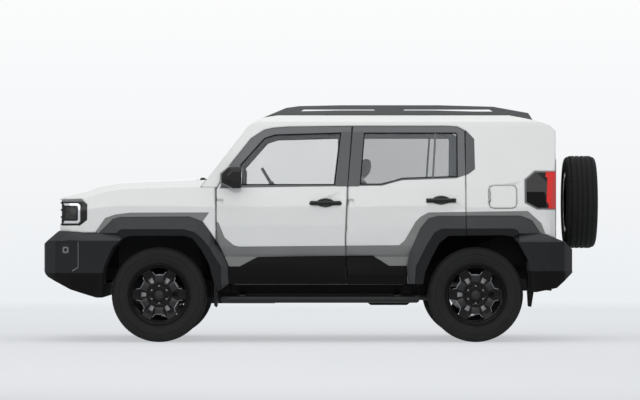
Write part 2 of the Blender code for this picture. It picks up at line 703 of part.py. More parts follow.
def front_flare_and_liner():
    """The front flare with its wheel arch liner and mud flap."""
    flare = front_flare()
    cut(flare, hinge_relief(FRONT_HINGE_X, -HINGE_Y, 0.79, 1.0))
    flap = prism(
        "Y",
        [(-0.868, 0.620), (-0.883, 0.450), (-0.882, 0.300), (-0.866, 0.285), (-0.860, 0.290),
         (-0.862, 0.450), (-0.850, 0.600)],
        -0.900, -0.660,
    )
    liner = arch_band(FRONT_ARCH, FRONT_AXLE_X, 0.470, BODY_HALF - 0.075)
    cut(liner, box((-3, 0), (-1, 0), (0, 0.4705)))
    cut(flap, box((-1, 0), (-PILLAR_Y - 0.021, -0.5), (0.456, 1.0)))
    return join(flare, liner, flap)


def roof():
    """The roof panel between the cantrails, with the windscreen header and the rear header."""
    panel = common(cabin_shell(), box((-1.2, 2.2), (-ROOF_PANEL_HALF + SEAT_GAP, ROOF_PANEL_HALF - SEAT_GAP),
                                      (1.60, 2.0)))
    return cut(
        panel,
        windscreen_opening(),
        box((TAIL_X - 0.35, TAIL_X + 0.2), (-0.9, 0.9), (1.0, TAILGATE_HIGH_Z + 0.006)),
    )


def windscreen():
    slab = prism(
        "Y",
        [(windscreen_x(1.20, GLASS_INSET), 1.20), (windscreen_x(1.90, GLASS_INSET), 1.90),
         (windscreen_x(1.90, GLASS_INSET + GLASS_WALL), 1.90),
         (windscreen_x(1.20, GLASS_INSET + GLASS_WALL), 1.20)],
        -1.0, 1.0,
    )
    return common(slab, windscreen_opening(-SEAT_GAP))


TAILGATE_GLASS = [(0.560, 1.290), (0.520, 1.700)]


def tailgate_window(grow=0.0):
    (low, low_z), (high, high_z) = TAILGATE_GLASS
    return prism("X", quad(low + grow, low_z - grow, high + grow, high_z + grow), 1.5, 2.2)


def tailgate():
    """The rear door, hung on its right-hand edge."""
    panel = common(
        cabin_shell(),
        box((TAIL_X - 0.30, TAIL_X + 0.2), (-TAILGATE_HALF, TAILGATE_HALF), (TAILGATE_LOW_Z, TAILGATE_HIGH_Z)),
    )
    return cut(
        panel,
        tailgate_window(),
        box((TAIL_X - 0.40, TAIL_X - 0.045), (-0.9, -TAILGATE_HALF + 0.007), (0.5, 2.0)),
        box((TAIL_X - 0.40, TAIL_X - 0.115), (-0.9, 0.9), (0.5, 2.0)),
    )


# The nose: shoulder height, and heights of the side's two upper corners, at stations along the car
NOSE_ROWS = [
    # x, shoulder, upper corner, lower corner
    (NOSE_X + 0.0575, 1.135, 1.060, 0.985), (NOSE_X + 0.1555, 1.170, 1.105, 1.020),
    (NOSE_X + 0.1935, 1.185, 1.125, 1.040), (NOSE_X + 0.3725, 1.230, 1.175, 1.080),
    (NOSE_X + 0.4975, 1.272, 1.215, 1.100), (NOSE_X + 0.6375, 1.293, 1.240, 1.110),
    (NOSE_X + 0.9975, 1.308, 1.255, 1.110), (NOSE_X + 1.2775, 1.319, 1.262, 1.105),
    (FRONT_DOOR_X + 0.0037, 1.333, BELT_Z, 1.100),
]
BONNET_FRONT_X = NOSE_X + 0.1935
BONNET_REAR_X = FIREWALL_X - 0.0515
COWL_X = BONNET_REAR_X + 0.0130
BONNET_PIN = (BONNET_REAR_X - 0.006, 1.3060)
BONNET_PIN_Y = 0.700
PANEL_BACK_X = NOSE_X + 0.165
PANEL_LOW_Z = 0.9066


def nose_block(wall=0.0):
    """The nose's outer skin as a solid, or its hollow when a wall is given."""
    rings = []
    for x, shoulder, upper, lower in NOSE_ROWS:
        side = wall * 1.2
        half = [
            (BODY_HALF - 0.044 - side, 0.600 - wall), (BODY_HALF - 0.044 - side, CLADDING_TOP_Z + 0.004),
            (BODY_HALF - 0.007 - side, CREASE_Z), (BODY_HALF - side, 0.900),
            (BODY_HALF - 0.004 - side, lower - wall * 0.5), (BODY_HALF - 0.024 - side, upper - wall),
            (BONNET_HALF + 0.015 - side, shoulder - wall), (0.450, shoulder + 0.015 - wall),
            (0.0, shoulder + 0.020 - wall),
        ]
        rings.append([(x, y, z) for y, z in both_sides(half)])
    plan = [
        (-0.5, 1.0), (NOSE_X + 0.3575 + wall, 1.0), (NOSE_X + 0.3575 + wall, BODY_HALF),
        (NOSE_X + 0.2275 + wall, BODY_HALF - 0.020), (NOSE_X + 0.1575 + wall, BODY_HALF - 0.057),
        (NOSE_X + 0.1125 + wall, 0.700), (NOSE_X + 0.0875 + wall, 0.450), (NOSE_X + 0.0825 + wall, 0.0),
    ]
    plan += [(x, -y) for x, y in reversed(plan[:-1])]
    return common(loft(rings), prism("Z", plan, 0.2, 2.0))


def nose_shell():
    return cut(nose_block(), nose_block(BONNET_WALL))


# Side outlines of the head lamp and of both bumpers, as (x, z), counter-clockwise
HEAD_LAMP = [
    (NOSE_X + 0.3112, 0.950), (NOSE_X + 0.3706, 0.997), (NOSE_X + 0.3706, 1.1216),
    (NOSE_X + 0.3235, 1.1660), (NOSE_X + 0.1935, 1.1630), (NOSE_X - 0.0125, 1.150), (NOSE_X - 0.0125, 0.950),
]
HEAD_LAMP_INNER_Y = 0.600


def front_bumper_outline():
    arch = [(FRONT_AXLE_X + x, AXLE_Z + z) for x, z in reversed(FRONT_ARCH[-4:])]
    arch.append((FRONT_AXLE_X - 0.2980, AXLE_Z + 0.4589))
    return [
        (NOSE_X + 0.0375, 0.532), (NOSE_X + 0.2365, 0.430), (NOSE_X + 0.3475, 0.395),
        (NOSE_X + 0.4475, 0.365), (arch[0][0], 0.365),
    ] + arch[1:] + [
        (FRONT_AXLE_X - 0.3374, JOINT_Z - SEAT_GAP), (FRONT_AXLE_X - 0.4920, JOINT_Z - SEAT_GAP),
        (NOSE_X + 0.1395, PANEL_LOW_Z - SEAT_GAP), (NOSE_X, 0.800), (NOSE_X, 0.574),
    ]


def rear_bumper_outline():
    arch = [(REAR_AXLE_X + x, AXLE_Z + z) for x, z in reversed(REAR_ARCH[1:4])]
    return arch + [
        (REAR_AXLE_X + 0.4525, 0.410), (REAR_AXLE_X + 0.4905, 0.409), (TAIL_X - 0.023, 0.443),
        (TAIL_X + 0.083, 0.537), (TAIL_X + 0.115, 0.565), (TAIL_X + 0.115, 0.757),
        (TAIL_X + 0.060, 0.800), (TAIL_X + 0.051, 0.814), (TAIL_X - 0.130, 0.8840),
        (REAR_AXLE_X + 0.5295, JOINT_Z - 0.0026), (REAR_AXLE_X + 0.3502, JOINT_Z - 0.0066),
        (REAR_AXLE_X + 0.3018, AXLE_Z + 0.4728),
    ]


def plan_of(rows):
    """A plan outline from its left half, given as (x, y) rows."""
    return rows + [(x, -y) for x, y in reversed(rows)]


def bumper_section():
    half = [(FLARE_HALF, 0.20), (FLARE_HALF, 0.835), (BODY_HALF - 0.004, JOINT_Z), (BODY_HALF - 0.004, 1.0)]
    return prism("X", half + [(-y, z) for y, z in reversed(half)], -3.0, 3.0)


BUMPER_HALF_IN = 0.820
FRONT_BUMPER_BACK_X = NOSE_X + 0.0975
REAR_BUMPER_BACK_X = TAIL_X + 0.030


def front_bumper():
    bar = prism("Y", front_bumper_outline(), -1.0, 1.0)
    plan = plan_of([
        (-1.5, FLARE_HALF), (NOSE_X + 0.3875, FLARE_HALF), (NOSE_X + 0.2375, FLARE_HALF - 0.0225),
        (NOSE_X + 0.1075, 0.840), (NOSE_X + 0.0150, 0.700), (NOSE_X, 0.620),
    ])
    hollow = [
        (FRONT_BUMPER_BACK_X, 0.470), (-1.5, 0.470), (-1.5, 1.0), (NOSE_X + 0.1525, 1.0),
        (NOSE_X + 0.1525, 0.800), (FRONT_BUMPER_BACK_X, 0.760),
    ]
    common(bar, prism("Z", plan, 0.2, 1.2), bumper_section())
    return cut(
        bar,
        prism("Y", hollow, -BUMPER_HALF_IN, BUMPER_HALF_IN),
        box((NOSE_X - 0.1, NOSE_X + 0.2), (-0.480, 0.480), (0.620, 0.735)),
    )


def rear_bumper():
    bar = prism("Y", rear_bumper_outline(), -1.0, 1.0)
    plan = plan_of([
        (1.0, FLARE_HALF), (TAIL_X - 0.080, FLARE_HALF), (TAIL_X + 0.040, FLARE_HALF - 0.060),
        (TAIL_X + 0.075, 0.800), (TAIL_X + 0.115, 0.720),
    ])
    common(bar, prism("Z", plan, 0.2, 1.2), bumper_section())
    cut(
        bar,
        box((1.0, REAR_BUMPER_BACK_X), (-BUMPER_HALF_IN + 0.030, BUMPER_HALF_IN - 0.030), (0.2, 1.2)),
        box((1.0, TAIL_X + 0.040), (-TAILGATE_HALF - 0.020, TAILGATE_HALF + 0.020),
            (TAILGATE_LOW_Z - 0.0075, 1.2)),
        rod((TAIL_X + 0.050, 0.0, SPARE_Z), (TAIL_X + 0.30, 0.0, SPARE_Z), TYRE_RADIUS + 0.012, 48),
    )
    flap = [
        (1.6640, 0.655), (1.6840, 0.290), (1.6980, 0.290), (1.7160, 0.400), (1.7120, 0.470), (1.6950, 0.655),
    ]
    for side in (-1, 1):
        join(bar, prism("Y", flap, *sorted((side * 0.660, side * 0.900))))
    return bar


def fender():
    """The front wing of the left side."""
    panel = common(nose_shell(), left_half(BONNET_HALF, (NOSE_X, FRONT_DOOR_X - SHUT_GAP)))
    pillar = [
        (windscreen_x(PILLAR_BASE_Z) - 0.0010, PILLAR_BASE_Z - 0.0005), (-0.5, PILLAR_BASE_Z - 0.0005),
        (-0.5, 1.6), (windscreen_x(1.6) - 0.0010, 1.6),
    ]
    flare = at_axle(FRONT_AXLE_X, front_flare_edge() + FRONT_FLARE_FOOT)
    return cut(
        panel,
        prism("Y", offset_outline(front_bumper_outline(), SEAT_GAP), -1.2, 0.0),
        prism("Y", offset_outline(flare, SEAT_GAP), -1.2, 0.0),
        prism("Y", at_axle(FRONT_AXLE_X, offset_outline(FRONT_ARCH, LINER_WALL + SEAT_GAP)), -1.2, 0.0),
        prism("Y", doors_aperture(front_door_outline(), B_POST_X), -1.2, 0.0),
        prism("Y", HEAD_LAMP, -1.2, -HEAD_LAMP_INNER_Y),
        prism("Y", pillar, -1.2, 0.0),
        box((NOSE_X - 0.1, NOSE_X + 0.45), (-1.2, 0.0), (0.2, PANEL_LOW_Z - 0.012)),
        box((FRONT_AXLE_X - 0.345, FRONT_AXLE_X - 0.280), (-1.2, 0.0), (0.8, JOINT_Z - 0.010)),
        hinge_relief(FRONT_HINGE_X, -HINGE_Y, 0.5, PILLAR_BASE_Z + 0.1),
    )


def head_lamp():
    outline = offset_outline(HEAD_LAMP, -SEAT_GAP)
    lamp = common(nose_block(), prism("Y", outline, -1.2, -HEAD_LAMP_INNER_Y - SEAT_GAP))
    return cut(lamp, box((PANEL_BACK_X, NOSE_X + 0.6), (-BONNET_HALF, 0.0), (0.8, 1.4)))


def grille():
    """The front panel between the wings, with the air intake's bars and its lamp openings."""
    panel = common(
        nose_block(),
        box((NOSE_X, PANEL_BACK_X), (-BONNET_HALF + SEAT_GAP, BONNET_HALF - SEAT_GAP), (PANEL_LOW_Z, 1.3)),
    )
    for side in (-1, 1):
        cut(panel, prism("Y", HEAD_LAMP, *sorted((side * 1.2, side * HEAD_LAMP_INNER_Y))))
    for level in range(4):
        low = 0.972 + level * 0.044
        cut(panel, box((NOSE_X, NOSE_X + 0.3), (-0.540, 0.540), (low, low + 0.030)))
    return panel


def bonnet():
    half = BONNET_HALF - 0.0055
    panel = common(nose_shell(), box((BONNET_FRONT_X, BONNET_REAR_X), (-half, half), (1.05, 1.5)))
    nose_z = NOSE_ROWS[2][1]
    undercut = [
        (BONNET_FRONT_X - 0.1, nose_z + 0.1), (BONNET_FRONT_X, nose_z + 0.1), (BONNET_FRONT_X, nose_z),
        (BONNET_FRONT_X + 0.020, nose_z - 0.060), (BONNET_FRONT_X - 0.1, nose_z - 0.060),
    ]
    cut(panel, prism("Y", undercut, -1.0, 1.0))
    x, z = BONNET_PIN
    for side in (-1, 1):
        cut(panel, box((x - 0.018, x + 0.1), sorted((side * (BONNET_PIN_Y - 0.020), side * (BONNET_PIN_Y + 0.020))),
                       (1.2, z + 0.0095)))
    return panel


def firewall():
    """The bulkhead between engine and cabin, the cowl under the windscreen and the bonnet's hinges."""
    plate = (FIREWALL_X - 0.025, FIREWALL_X - SEAT_GAP)
    wall = box(plate, (-0.445, 0.445), (0.500 + SEAT_GAP, PILLAR_BASE_Z))
    upper = box(plate, (-PILLAR_Y, PILLAR_Y), (0.885, PILLAR_BASE_Z))
    tray = prism(
        "Y",
        [(COWL_X, 1.240), (windscreen_x(1.240) - 0.0006, 1.240), (windscreen_x(1.335) - 0.0006, 1.335),
         (COWL_X, 1.306)],
        -BONNET_HALF + SEAT_GAP, BONNET_HALF - SEAT_GAP,
    )
    join(wall, upper, tray)
    x, z = BONNET_PIN
    for side in (-1, 1):
        y = side * BONNET_PIN_Y
        foot = box((x - 0.0055, COWL_X + 0.006), (y - 0.010, y + 0.010), (z - 0.058, z - 0.046))
        post = box((x - 0.0055, x + 0.0055), (y - 0.010, y + 0.010), (z - 0.058, z))
        pin = rod((x, y - 0.020 + SEAT_GAP, z), (x, y + 0.020 - SEAT_GAP, z), 0.008, 12)
        join(wall, foot, post, pin)
    return wall


def rear_lamp():
    outline = offset_outline(list(reversed(REAR_LAMP)), -SEAT_GAP)
    return common(cabin_shell(), prism("Y", outline, -1.0, -0.715 - SEAT_GAP))


# Chassis
RAIL_IN, RAIL_OUT = 0.350, 0.420
FRAME_TOP_MID = 0.4696
FLOOR_Z = 0.470
FLOOR_WALL = 0.030
ARM_LOW = (0.235, 0.262)
ARM_HIGH = (0.513, 0.537)
STRUT_X, STRUT_Y, STRUT_TOP = 0.075, 0.495, 0.620
DISC_IN, DISC_OUT = 0.745, 0.765


def frame_rail_outline():
    rear_x = REAR_AXLE_X
    top = [
        (REAR_BUMPER_BACK_X - SEAT_GAP, LOAD_FLOOR_Z - SEAT_GAP), (rear_x - 0.3675, LOAD_FLOOR_Z - SEAT_GAP),
        (rear_x - 0.5675, FRAME_TOP_MID), (FRONT_AXLE_X + 0.3025, FRAME_TOP_MID),
        (FRONT_AXLE_X + 0.1525, 0.600), (FRONT_BUMPER_BACK_X + SEAT_GAP, 0.600),
    ]
    low = [
        (FRONT_BUMPER_BACK_X + SEAT_GAP, 0.500), (FRONT_AXLE_X + 0.1125, 0.500),
        (FRONT_AXLE_X + 0.2625, 0.355), (rear_x - 0.5275, 0.355), (rear_x - 0.3275, 0.510),
        (REAR_BUMPER_BACK_X - SEAT_GAP, 0.510),
    ]
    return top + low


# Cross members of the frame, as x centre, half-length, low and high
CROSS_MEMBERS = [
    (FRONT_AXLE_X - 0.7175, 0.030, 0.520, 0.580), (-0.300, 0.035, 0.400, 0.460),
    (0.300, 0.035, 0.400, 0.460), (0.800, 0.030, 0.440, 0.500),
    (REAR_AXLE_X + 0.3025, 0.030, 0.520, 0.600), (TAIL_X - 0.060, 0.030, 0.530, 0.600),
]


def ladder_frame():
    """Two box rails with kick-ups over the axles, cross members, strut towers and link brackets."""
    rails = [prism("Y", frame_rail_outline(), *sorted((side * RAIL_IN, side * RAIL_OUT))) for side in (-1, 1)]
    frame = rails[0]
    members = [
        box((x - half, x + half), (-RAIL_IN - 0.01, RAIL_IN + 0.01), (low, high))
        for x, half, low, high in CROSS_MEMBERS
    ]
    join(frame, rails[1], *members)
    for side in (-1, 1):
        tower_y = sorted((side * (RAIL_IN + 0.03), side * (STRUT_Y + 0.045)))
        x = FRONT_AXLE_X + STRUT_X
        join(
            frame,
            box((x - 0.055, x + 0.055), tower_y, (STRUT_TOP, STRUT_TOP + 0.020)),
            box((x - 0.055, x + 0.055), sorted((side * (RAIL_IN + 0.03), side * RAIL_OUT)), (0.590, STRUT_TOP)),
            box((REAR_AXLE_X - 0.450, REAR_AXLE_X - 0.410), sorted((side * 0.360, side * 0.410)), (0.3824, 0.480)),
        )
    return frame


def front_suspension():
    """Cross member, lower and upper arms and struts of the front wheels."""
    axle = FRONT_AXLE_X
    low, high = ARM_LOW
    cross = box((axle - 0.100, axle + 0.100), (-RAIL_OUT, RAIL_OUT), (low - 0.030, high))
    for side in (-1, 1):
        lower = [(-0.160, 0.400), (0.160, 0.400), (0.050, 0.600), (0.036, KINGPIN_Y), (-0.036, KINGPIN_Y),
                 (-0.050, 0.600)]
        upper = [(-0.100, RAIL_OUT + SEAT_GAP), (0.110, RAIL_OUT + SEAT_GAP), (0.115, 0.540),
                 (0.030, KINGPIN_Y), (-0.030, KINGPIN_Y)]
        arm = prism("Z", [(axle + x, side * y) for x, y in lower], low, high)
        top_arm = prism("Z", [(axle + x, side * y) for x, y in upper], *ARM_HIGH)
        ball = (axle, side * KINGPIN_Y)
        strut_x, strut_y = axle + STRUT_X, side * STRUT_Y
        posts = [
            box((axle + x, axle + x + 0.030), sorted((side * 0.360, side * 0.410)), (low, 0.500 - SEAT_GAP))
            for x in (-0.100, 0.070)
        ]
        join(
            cross, arm, top_arm,
            rod((*ball, low), (*ball, high), 0.038, 16),
            rod((*ball, ARM_HIGH[0]), (*ball, ARM_HIGH[1]), 0.034, 16),
            rod((strut_x, strut_y, low + 0.01), (strut_x, strut_y, STRUT_TOP - SEAT_GAP), 0.034, 16),
            *posts,
        )
    return cross


def knuckle():
    """The left front wheel's carrier, with the brake caliper and the steering arm."""
    x, y = FRONT_AXLE_X, -KINGPIN_Y
    post = rod((x, y, ARM_LOW[1] + SEAT_GAP), (x, y, ARM_HIGH[0] - SEAT_GAP), 0.026, 16)
    housing = rod((x, y, AXLE_Z), (x, -DISC_IN + 0.009, AXLE_Z), 0.048, 20)
    reach = DISC_RADIUS + 0.022
    bridge = box((x, x + reach), (-DISC_IN + 0.009, -DISC_IN + 0.045), (AXLE_Z - 0.030, AXLE_Z + 0.030))
    caliper = box((x + 0.105, x + reach), (-DISC_OUT - 0.022, -DISC_IN + 0.045), (AXLE_Z - 0.060, AXLE_Z + 0.060))
    slot = rod((x, -DISC_OUT - 0.006, AXLE_Z), (x, -DISC_IN + 0.006, AXLE_Z), DISC_RADIUS + 0.006, 40)
    cut(caliper, slot)
    steering_arm = box((x, x + 0.130), (y - 0.012, y + 0.016), (AXLE_Z - 0.100, AXLE_Z - 0.075))
    return join(post, housing, bridge, caliper, steering_arm)


def rear_axle():
    """Live axle with its final drive, springs, lower links and brake calipers."""
    x, z = REAR_AXLE_X, AXLE_Z
    hub_y = DISC_IN - 0.009
    axle = rod((x, -hub_y, z), (x, hub_y, z), 0.040, 20)
    pumpkin = rod((x - 0.110, 0, z), (x + 0.120, 0, z), 0.125, 20)
    nose = rod((x - 0.170, 0, z), (x - 0.100, 0, z), 0.050, 16)
    join(axle, pumpkin, nose)
    for side in (-1, 1):
        reach = DISC_RADIUS + 0.022
        inboard, outboard = side * (DISC_IN - 0.045), side * (DISC_IN - 0.009)
        bridge = box((x, x + reach), sorted((inboard, outboard)), (z - 0.030, z + 0.030))
        caliper = box((x + 0.105, x + reach), sorted((inboard, side * (DISC_OUT + 0.022))), (z - 0.055, z + 0.055))
        slot = rod((x, side * (DISC_IN - 0.006), z), (x, side * (DISC_OUT + 0.006), z), DISC_RADIUS + 0.006, 40)
        cut(caliper, slot)
        y = side * 0.385
        join(
            axle, bridge, caliper,
            rod((x, y, z), (x, y, 0.510 - SEAT_GAP), 0.052, 16),
            rod((REAR_AXLE_X - 0.440, y, 0.3585), (x, y, z - 0.010), 0.022, 12),
        )
    return axle


ENGINE = ((-1.700, -1.050), (-0.270, 0.270), (0.300, 1.060))


def powertrain():
    """Engine as a plain block, gearbox, transfer case, propeller shaft and front half-shafts."""
    engine = box(*ENGINE)
    gearbox = prism(
        "Y", [(-1.10, 0.300), (-0.400, 0.300), (-0.400, 0.455), (-1.018, 0.462), (-1.018, 0.680), (-1.10, 0.720)],
        -0.150, 0.150,
    )
    shaft = rod((-0.450, 0, 0.345), (REAR_AXLE_X - 0.1712, 0, 0.372), 0.028, 12)
    halves = rod((FRONT_AXLE_X, -KINGPIN_Y + 0.040, AXLE_Z), (FRONT_AXLE_X, KINGPIN_Y - 0.040, AXLE_Z), 0.016, 12)
    mounts = box((-1.300, -1.220), (-RAIL_IN + SEAT_GAP, RAIL_IN - SEAT_GAP), (0.520, 0.580))
    return join(engine, gearbox, shaft, halves, mounts)


def pipe(points, radius, sides=10):
    """A bent pipe through points, as rods with round joints."""
    run = rod(points[0], points[1], radius, sides)
    for start, end in zip(points[1:], points[2:]):
        back = (Vector(start) - Vector(end)).normalized() * radius * 0.7
        join(run, rod(Vector(start) + back, end, radius * 0.999, sides))
    return run


def exhaust():
    line = pipe(
        [(-1.0496, 0.240, 0.340), (0.900, 0.240, 0.340), (1.080, 0.240, 0.478), (1.450, 0.240, 0.478)], 0.022
    )
    silencer = box((1.420, 1.780), (0.120, 0.330), (0.400, 0.520 - SEAT_GAP))
    tail = rod((1.760, 0.260, 0.440), (1.945, 0.260, 0.420), 0.024, 12)
    return join(line, silencer, tail)


def fuel_tank():
    outline = [(0.360, 0.320), (0.400, 0.290), (0.700, 0.290), (0.740, 0.320), (0.740, 0.4500), (0.360, 0.4500)]
    tank = prism("Y", outline, -RAIL_IN + 0.010, -0.050)
    strap = box((0.500, 0.560), (-RAIL_IN - 0.020, -0.100), (0.400, FRAME_TOP_MID))
    return join(tank, strap)


def floor_pan():
    """Cabin floor, the step up to the load floor and the panel under the tailgate."""
    top = FLOOR_Z + FLOOR_WALL
    step_x = REAR_AXLE_X - 0.5725
    plate = box((FRONT_AXLE_X + 0.5025 + SEAT_GAP, step_x), (-SILL_INNER_Y + SEAT_GAP, SILL_INNER_Y - SEAT_GAP), (FLOOR_Z, top))
    tunnel = box((FIREWALL_X - 0.020, step_x), (-0.445, 0.445), (FLOOR_Z, top))
    wide = (-SILL_INNER_Y + SEAT_GAP, SILL_INNER_Y - SEAT_GAP)
    riser = box((step_x - 0.030, step_x), wide, (FLOOR_Z, LOAD_FLOOR_Z + FLOOR_WALL))
    shelf = box((step_x - 0.030, step_x + 0.122), wide, (LOAD_FLOOR_Z, LOAD_FLOOR_Z + FLOOR_WALL))
    load = box((step_x - 0.030, TAIL_X - 0.080), (-WHEELHOUSE_Y + SEAT_GAP, WHEELHOUSE_Y - SEAT_GAP),
               (LOAD_FLOOR_Z, LOAD_FLOOR_Z + FLOOR_WALL))
    rear = box((TAIL_X - 0.090, TAIL_X - 0.060), (-0.620, 0.620), (LOAD_FLOOR_Z, TAILGATE_LOW_Z - 0.0065))
    return join(plate, tunnel, riser, shelf, load, rear)


# Wheels: turned profiles as (radius, offset outboard of the wheel's centre)
RIM_HALF = 0.1185
RIM_PROFILE = [
    (0.020, -0.036), (0.070, -0.036), (0.070, -0.0275), (DISC_RADIUS, -0.0275), (DISC_RADIUS, -0.0075),
    (0.075, -0.0075), (0.075, 0.045), (BARREL_RADIUS - BARREL_WALL, 0.035),
    (BARREL_RADIUS - BARREL_WALL, -RIM_HALF), (RIM_RADIUS, -RIM_HALF), (BARREL_RADIUS, -RIM_HALF + 0.015),
    (BARREL_RADIUS, RIM_HALF - 0.015), (RIM_RADIUS, RIM_HALF), (RIM_RADIUS - 0.0115, RIM_HALF),
    (BARREL_RADIUS - BARREL_WALL, 0.088), (0.150, 0.078), (0.045, 0.078), (0.020, 0.078),
]
SPOKE_GAPS = 6
WHEEL_SIDES = 28


def tyre_profile():
    half = TYRE_WIDTH / 2
    side = [
        (BARREL_RADIUS + SEAT_GAP, RIM_HALF - 0.0158), (RIM_RADIUS + SEAT_GAP, RIM_HALF - 0.0106),
        (RIM_RADIUS + 0.012, half - 0.012), (TYRE_RADIUS - 0.080, half), (TYRE_RADIUS - 0.030, half - 0.005),
        (TYRE_RADIUS - 0.004, half - 0.030), (TYRE_RADIUS, half - 0.060),
    ]
    return side + [(r, -offset) for r, offset in reversed(side)]


def tyre():
    return turned([(r, -offset) for r, offset in tyre_profile()], (0, 0, 0), WHEEL_SIDES)


def rim():
    """Wheel with six openings, and its brake disc, centred on the origin and facing -Y."""
    wheel = turned([(r, -offset) for r, offset in RIM_PROFILE], (0, 0, 0), WHEEL_SIDES)
    join(wheel, rod((0, 0.034, 0), (0, -0.086, 0), 0.032, 18))
    for index in range(SPOKE_GAPS):
        turn = Matrix.Rotation(math.radians(30 + 360 / SPOKE_GAPS * index), 4, "Y")
        large = prism("Y", [(0.150, -0.036), (0.196, -0.064), (0.2105, -0.046), (0.2105, 0.046), (0.196, 0.064),
                            (0.150, 0.036)], -0.13, -0.02)
        large.data.transform(turn)
        cut(wheel, large)
    return wheel


def publish_wheels():
    """Four road wheels, each a tyre and a rim with its origin on the axle, and the spare."""
    plain_tyre, plain_rim = tyre(), rim()
    for end, x in (("front", FRONT_AXLE_X), ("rear", REAR_AXLE_X)):
        for side, y in (("left", -WHEEL_Y), ("right", WHEEL_Y)):
            for part, source, finish in (("tyre", plain_tyre, "tyre_rubber"), ("rim", plain_rim, "wheel_black")):
                piece = copy_of(source) if side == "left" else mirrored(source)
                moved(piece, Matrix.Translation((x, y, AXLE_Z)))
                publish(f"{end}_{side}_{part}", piece, finish, (x, y, AXLE_Z))
    turn = Matrix.Rotation(math.radians(90), 4, "Z")
    place_spare = Matrix.Translation((SPARE_X, 0, SPARE_Z))
    publish("spare_tyre", moved(plain_tyre, turn, place_spare), "tyre_rubber", (SPARE_X, 0, SPARE_Z))
    spare = moved(plain_rim, turn, place_spare)
    join(
        spare,
        rod((TAIL_X + 0.010, 0, SPARE_Z), (SPARE_X - 0.030, 0, SPARE_Z), 0.060, 20),
        prism("X", [(-0.200, 1.060), (0.200, 1.060), (0.140, 1.250), (-0.140, 1.250)], TAIL_X - 0.03, TAIL_X + 0.035),
    )
    cut(spare, moved(cabin_skin(), Matrix.Translation((SEAT_GAP, 0, 0))))
    publish("spare_rim", spare, "wheel_black", (SPARE_X, 0, SPARE_Z))


# Small pieces of the body
LID_HINGE_Z = (1.160, 1.210)
LID_PIN = 0.003
LID_EDGE_X = LID_LOW[0] + 0.0055
LID_HINGE_X = LID_EDGE_X - 0.001


def lid_skin_y(z, out=0.0):
    """Half-width of the body's side beside the fuel lid, moved outwards by a distance."""
    lean = 0.020 / (BELT_Z - 1.100)
    return BODY_HALF - 0.004 - (z - 1.100) * lean + out


def lid_pin(low, high):
    ends = [(LID_HINGE_X, -lid_skin_y(z, 0.002), z) for z in (low, high)]
    return rod(*ends, LID_PIN, 8)


def fuel_lid():
    """The filler's lid, hung on a pin at its front edge that follows the body's side."""
    lid = common(cabin_skin(), prism("Y", lid_outline(), -1.1, -0.800))
    low, high = LID_HINGE_Z
    edge = (LID_LOW[0] - 0.01, LID_EDGE_X)
    cut(
        lid,
        moved(cabin_skin(), Matrix.Translation((0, LID_WALL, 0))),
        box(edge, (-1.1, -0.7), (1.0, 1.4)),
        box((edge[0], LID_EDGE_X + 0.008), (-1.1, -0.7), (low - 0.015, low)),
        box((edge[0], LID_EDGE_X + 0.008), (-1.1, -0.7), (high, high + 0.015)),
    )
    return join(lid, lid_pin(low, high))


def lid_lugs():
    """The body's halves of the fuel lid's hinge, above and below the lid's own pin."""
    low, high = LID_HINGE_Z
    lugs = []
    for foot, head in ((low - 0.008, low - 0.0007), (high + 0.0007, high + 0.008)):
        y = lid_skin_y(foot)
        arm = box((LID_LOW[0] - 0.012, LID_HINGE_X), (-y - 0.0005, -y + 0.010), (foot + 0.001, head - 0.001))
        lugs.append(join(lid_pin(foot, head), arm))
    return lugs


def roof_rail():
    """Raised rail on the left edge of the roof, with two long openings."""
    outline = [
        (-0.485, 1.780), (-0.485, 1.840), (-0.300, RAIL_TOP_Z - 0.022), (-0.190, RAIL_TOP_Z - 0.007),
        (0.150, RAIL_TOP_Z), (0.950, RAIL_TOP_Z), (1.400, RAIL_TOP_Z - 0.012), (1.690, 1.876), (1.730, 1.815),
        (1.730, 1.780),
    ]
    rail = prism("Y", outline, -0.620, -0.575)
    cut(rail, moved(cabin_skin(), Matrix.Translation((0, 0, SEAT_GAP))))
    for x_low, x_high in ((-0.184, 0.451), (0.646, 1.403)):
        hole = [(x_low, 1.8885), (x_high, 1.8885), (x_high - 0.03, 1.9050), (x_low + 0.03, 1.9050)]
        cut(rail, prism("Y", hole, -0.70, -0.50))
    return rail


def mirror():
    """Door mirror on its foot, with the glass facing the rear."""
    head = loft([
        [(-0.715, -0.900, 1.262), (-0.660, -0.900, 1.262), (-0.654, -0.900, 1.420), (-0.760, -0.900, 1.420),
         (-0.800, -0.900, 1.360), (-0.800, -0.900, 1.300)],
        [(-0.730, -0.930, 1.248), (-0.660, -0.930, 1.248), (-0.654, -0.930, 1.433), (-0.770, -0.930, 1.433),
         (-0.839, -0.930, 1.375), (-0.839, -0.930, 1.290)],
        [(-0.730, -1.010, 1.252), (-0.660, -1.010, 1.252), (-0.654, -1.010, 1.428), (-0.760, -1.010, 1.428),
         (-0.820, -1.010, 1.370), (-0.820, -1.010, 1.300)],
        [(-0.715, -1.035, 1.280), (-0.662, -1.035, 1.280), (-0.658, -1.035, 1.400), (-0.730, -1.035, 1.400),
         (-0.770, -1.035, 1.360), (-0.770, -1.035, 1.310)],
    ])
    foot = box((-0.790, -0.700), (-0.915, -0.800), (1.275, 1.325))
    join(head, foot)
    return cut(head, moved(cabin_skin(), Matrix.Translation((0, -SEAT_GAP, 0))))


# Grips of the door handles, as (x low, x high, z middle)
DOOR_GRIPS = {"front": (-0.1075, 0.155, 1.133), "rear": (0.8375, 1.094, 1.154)}


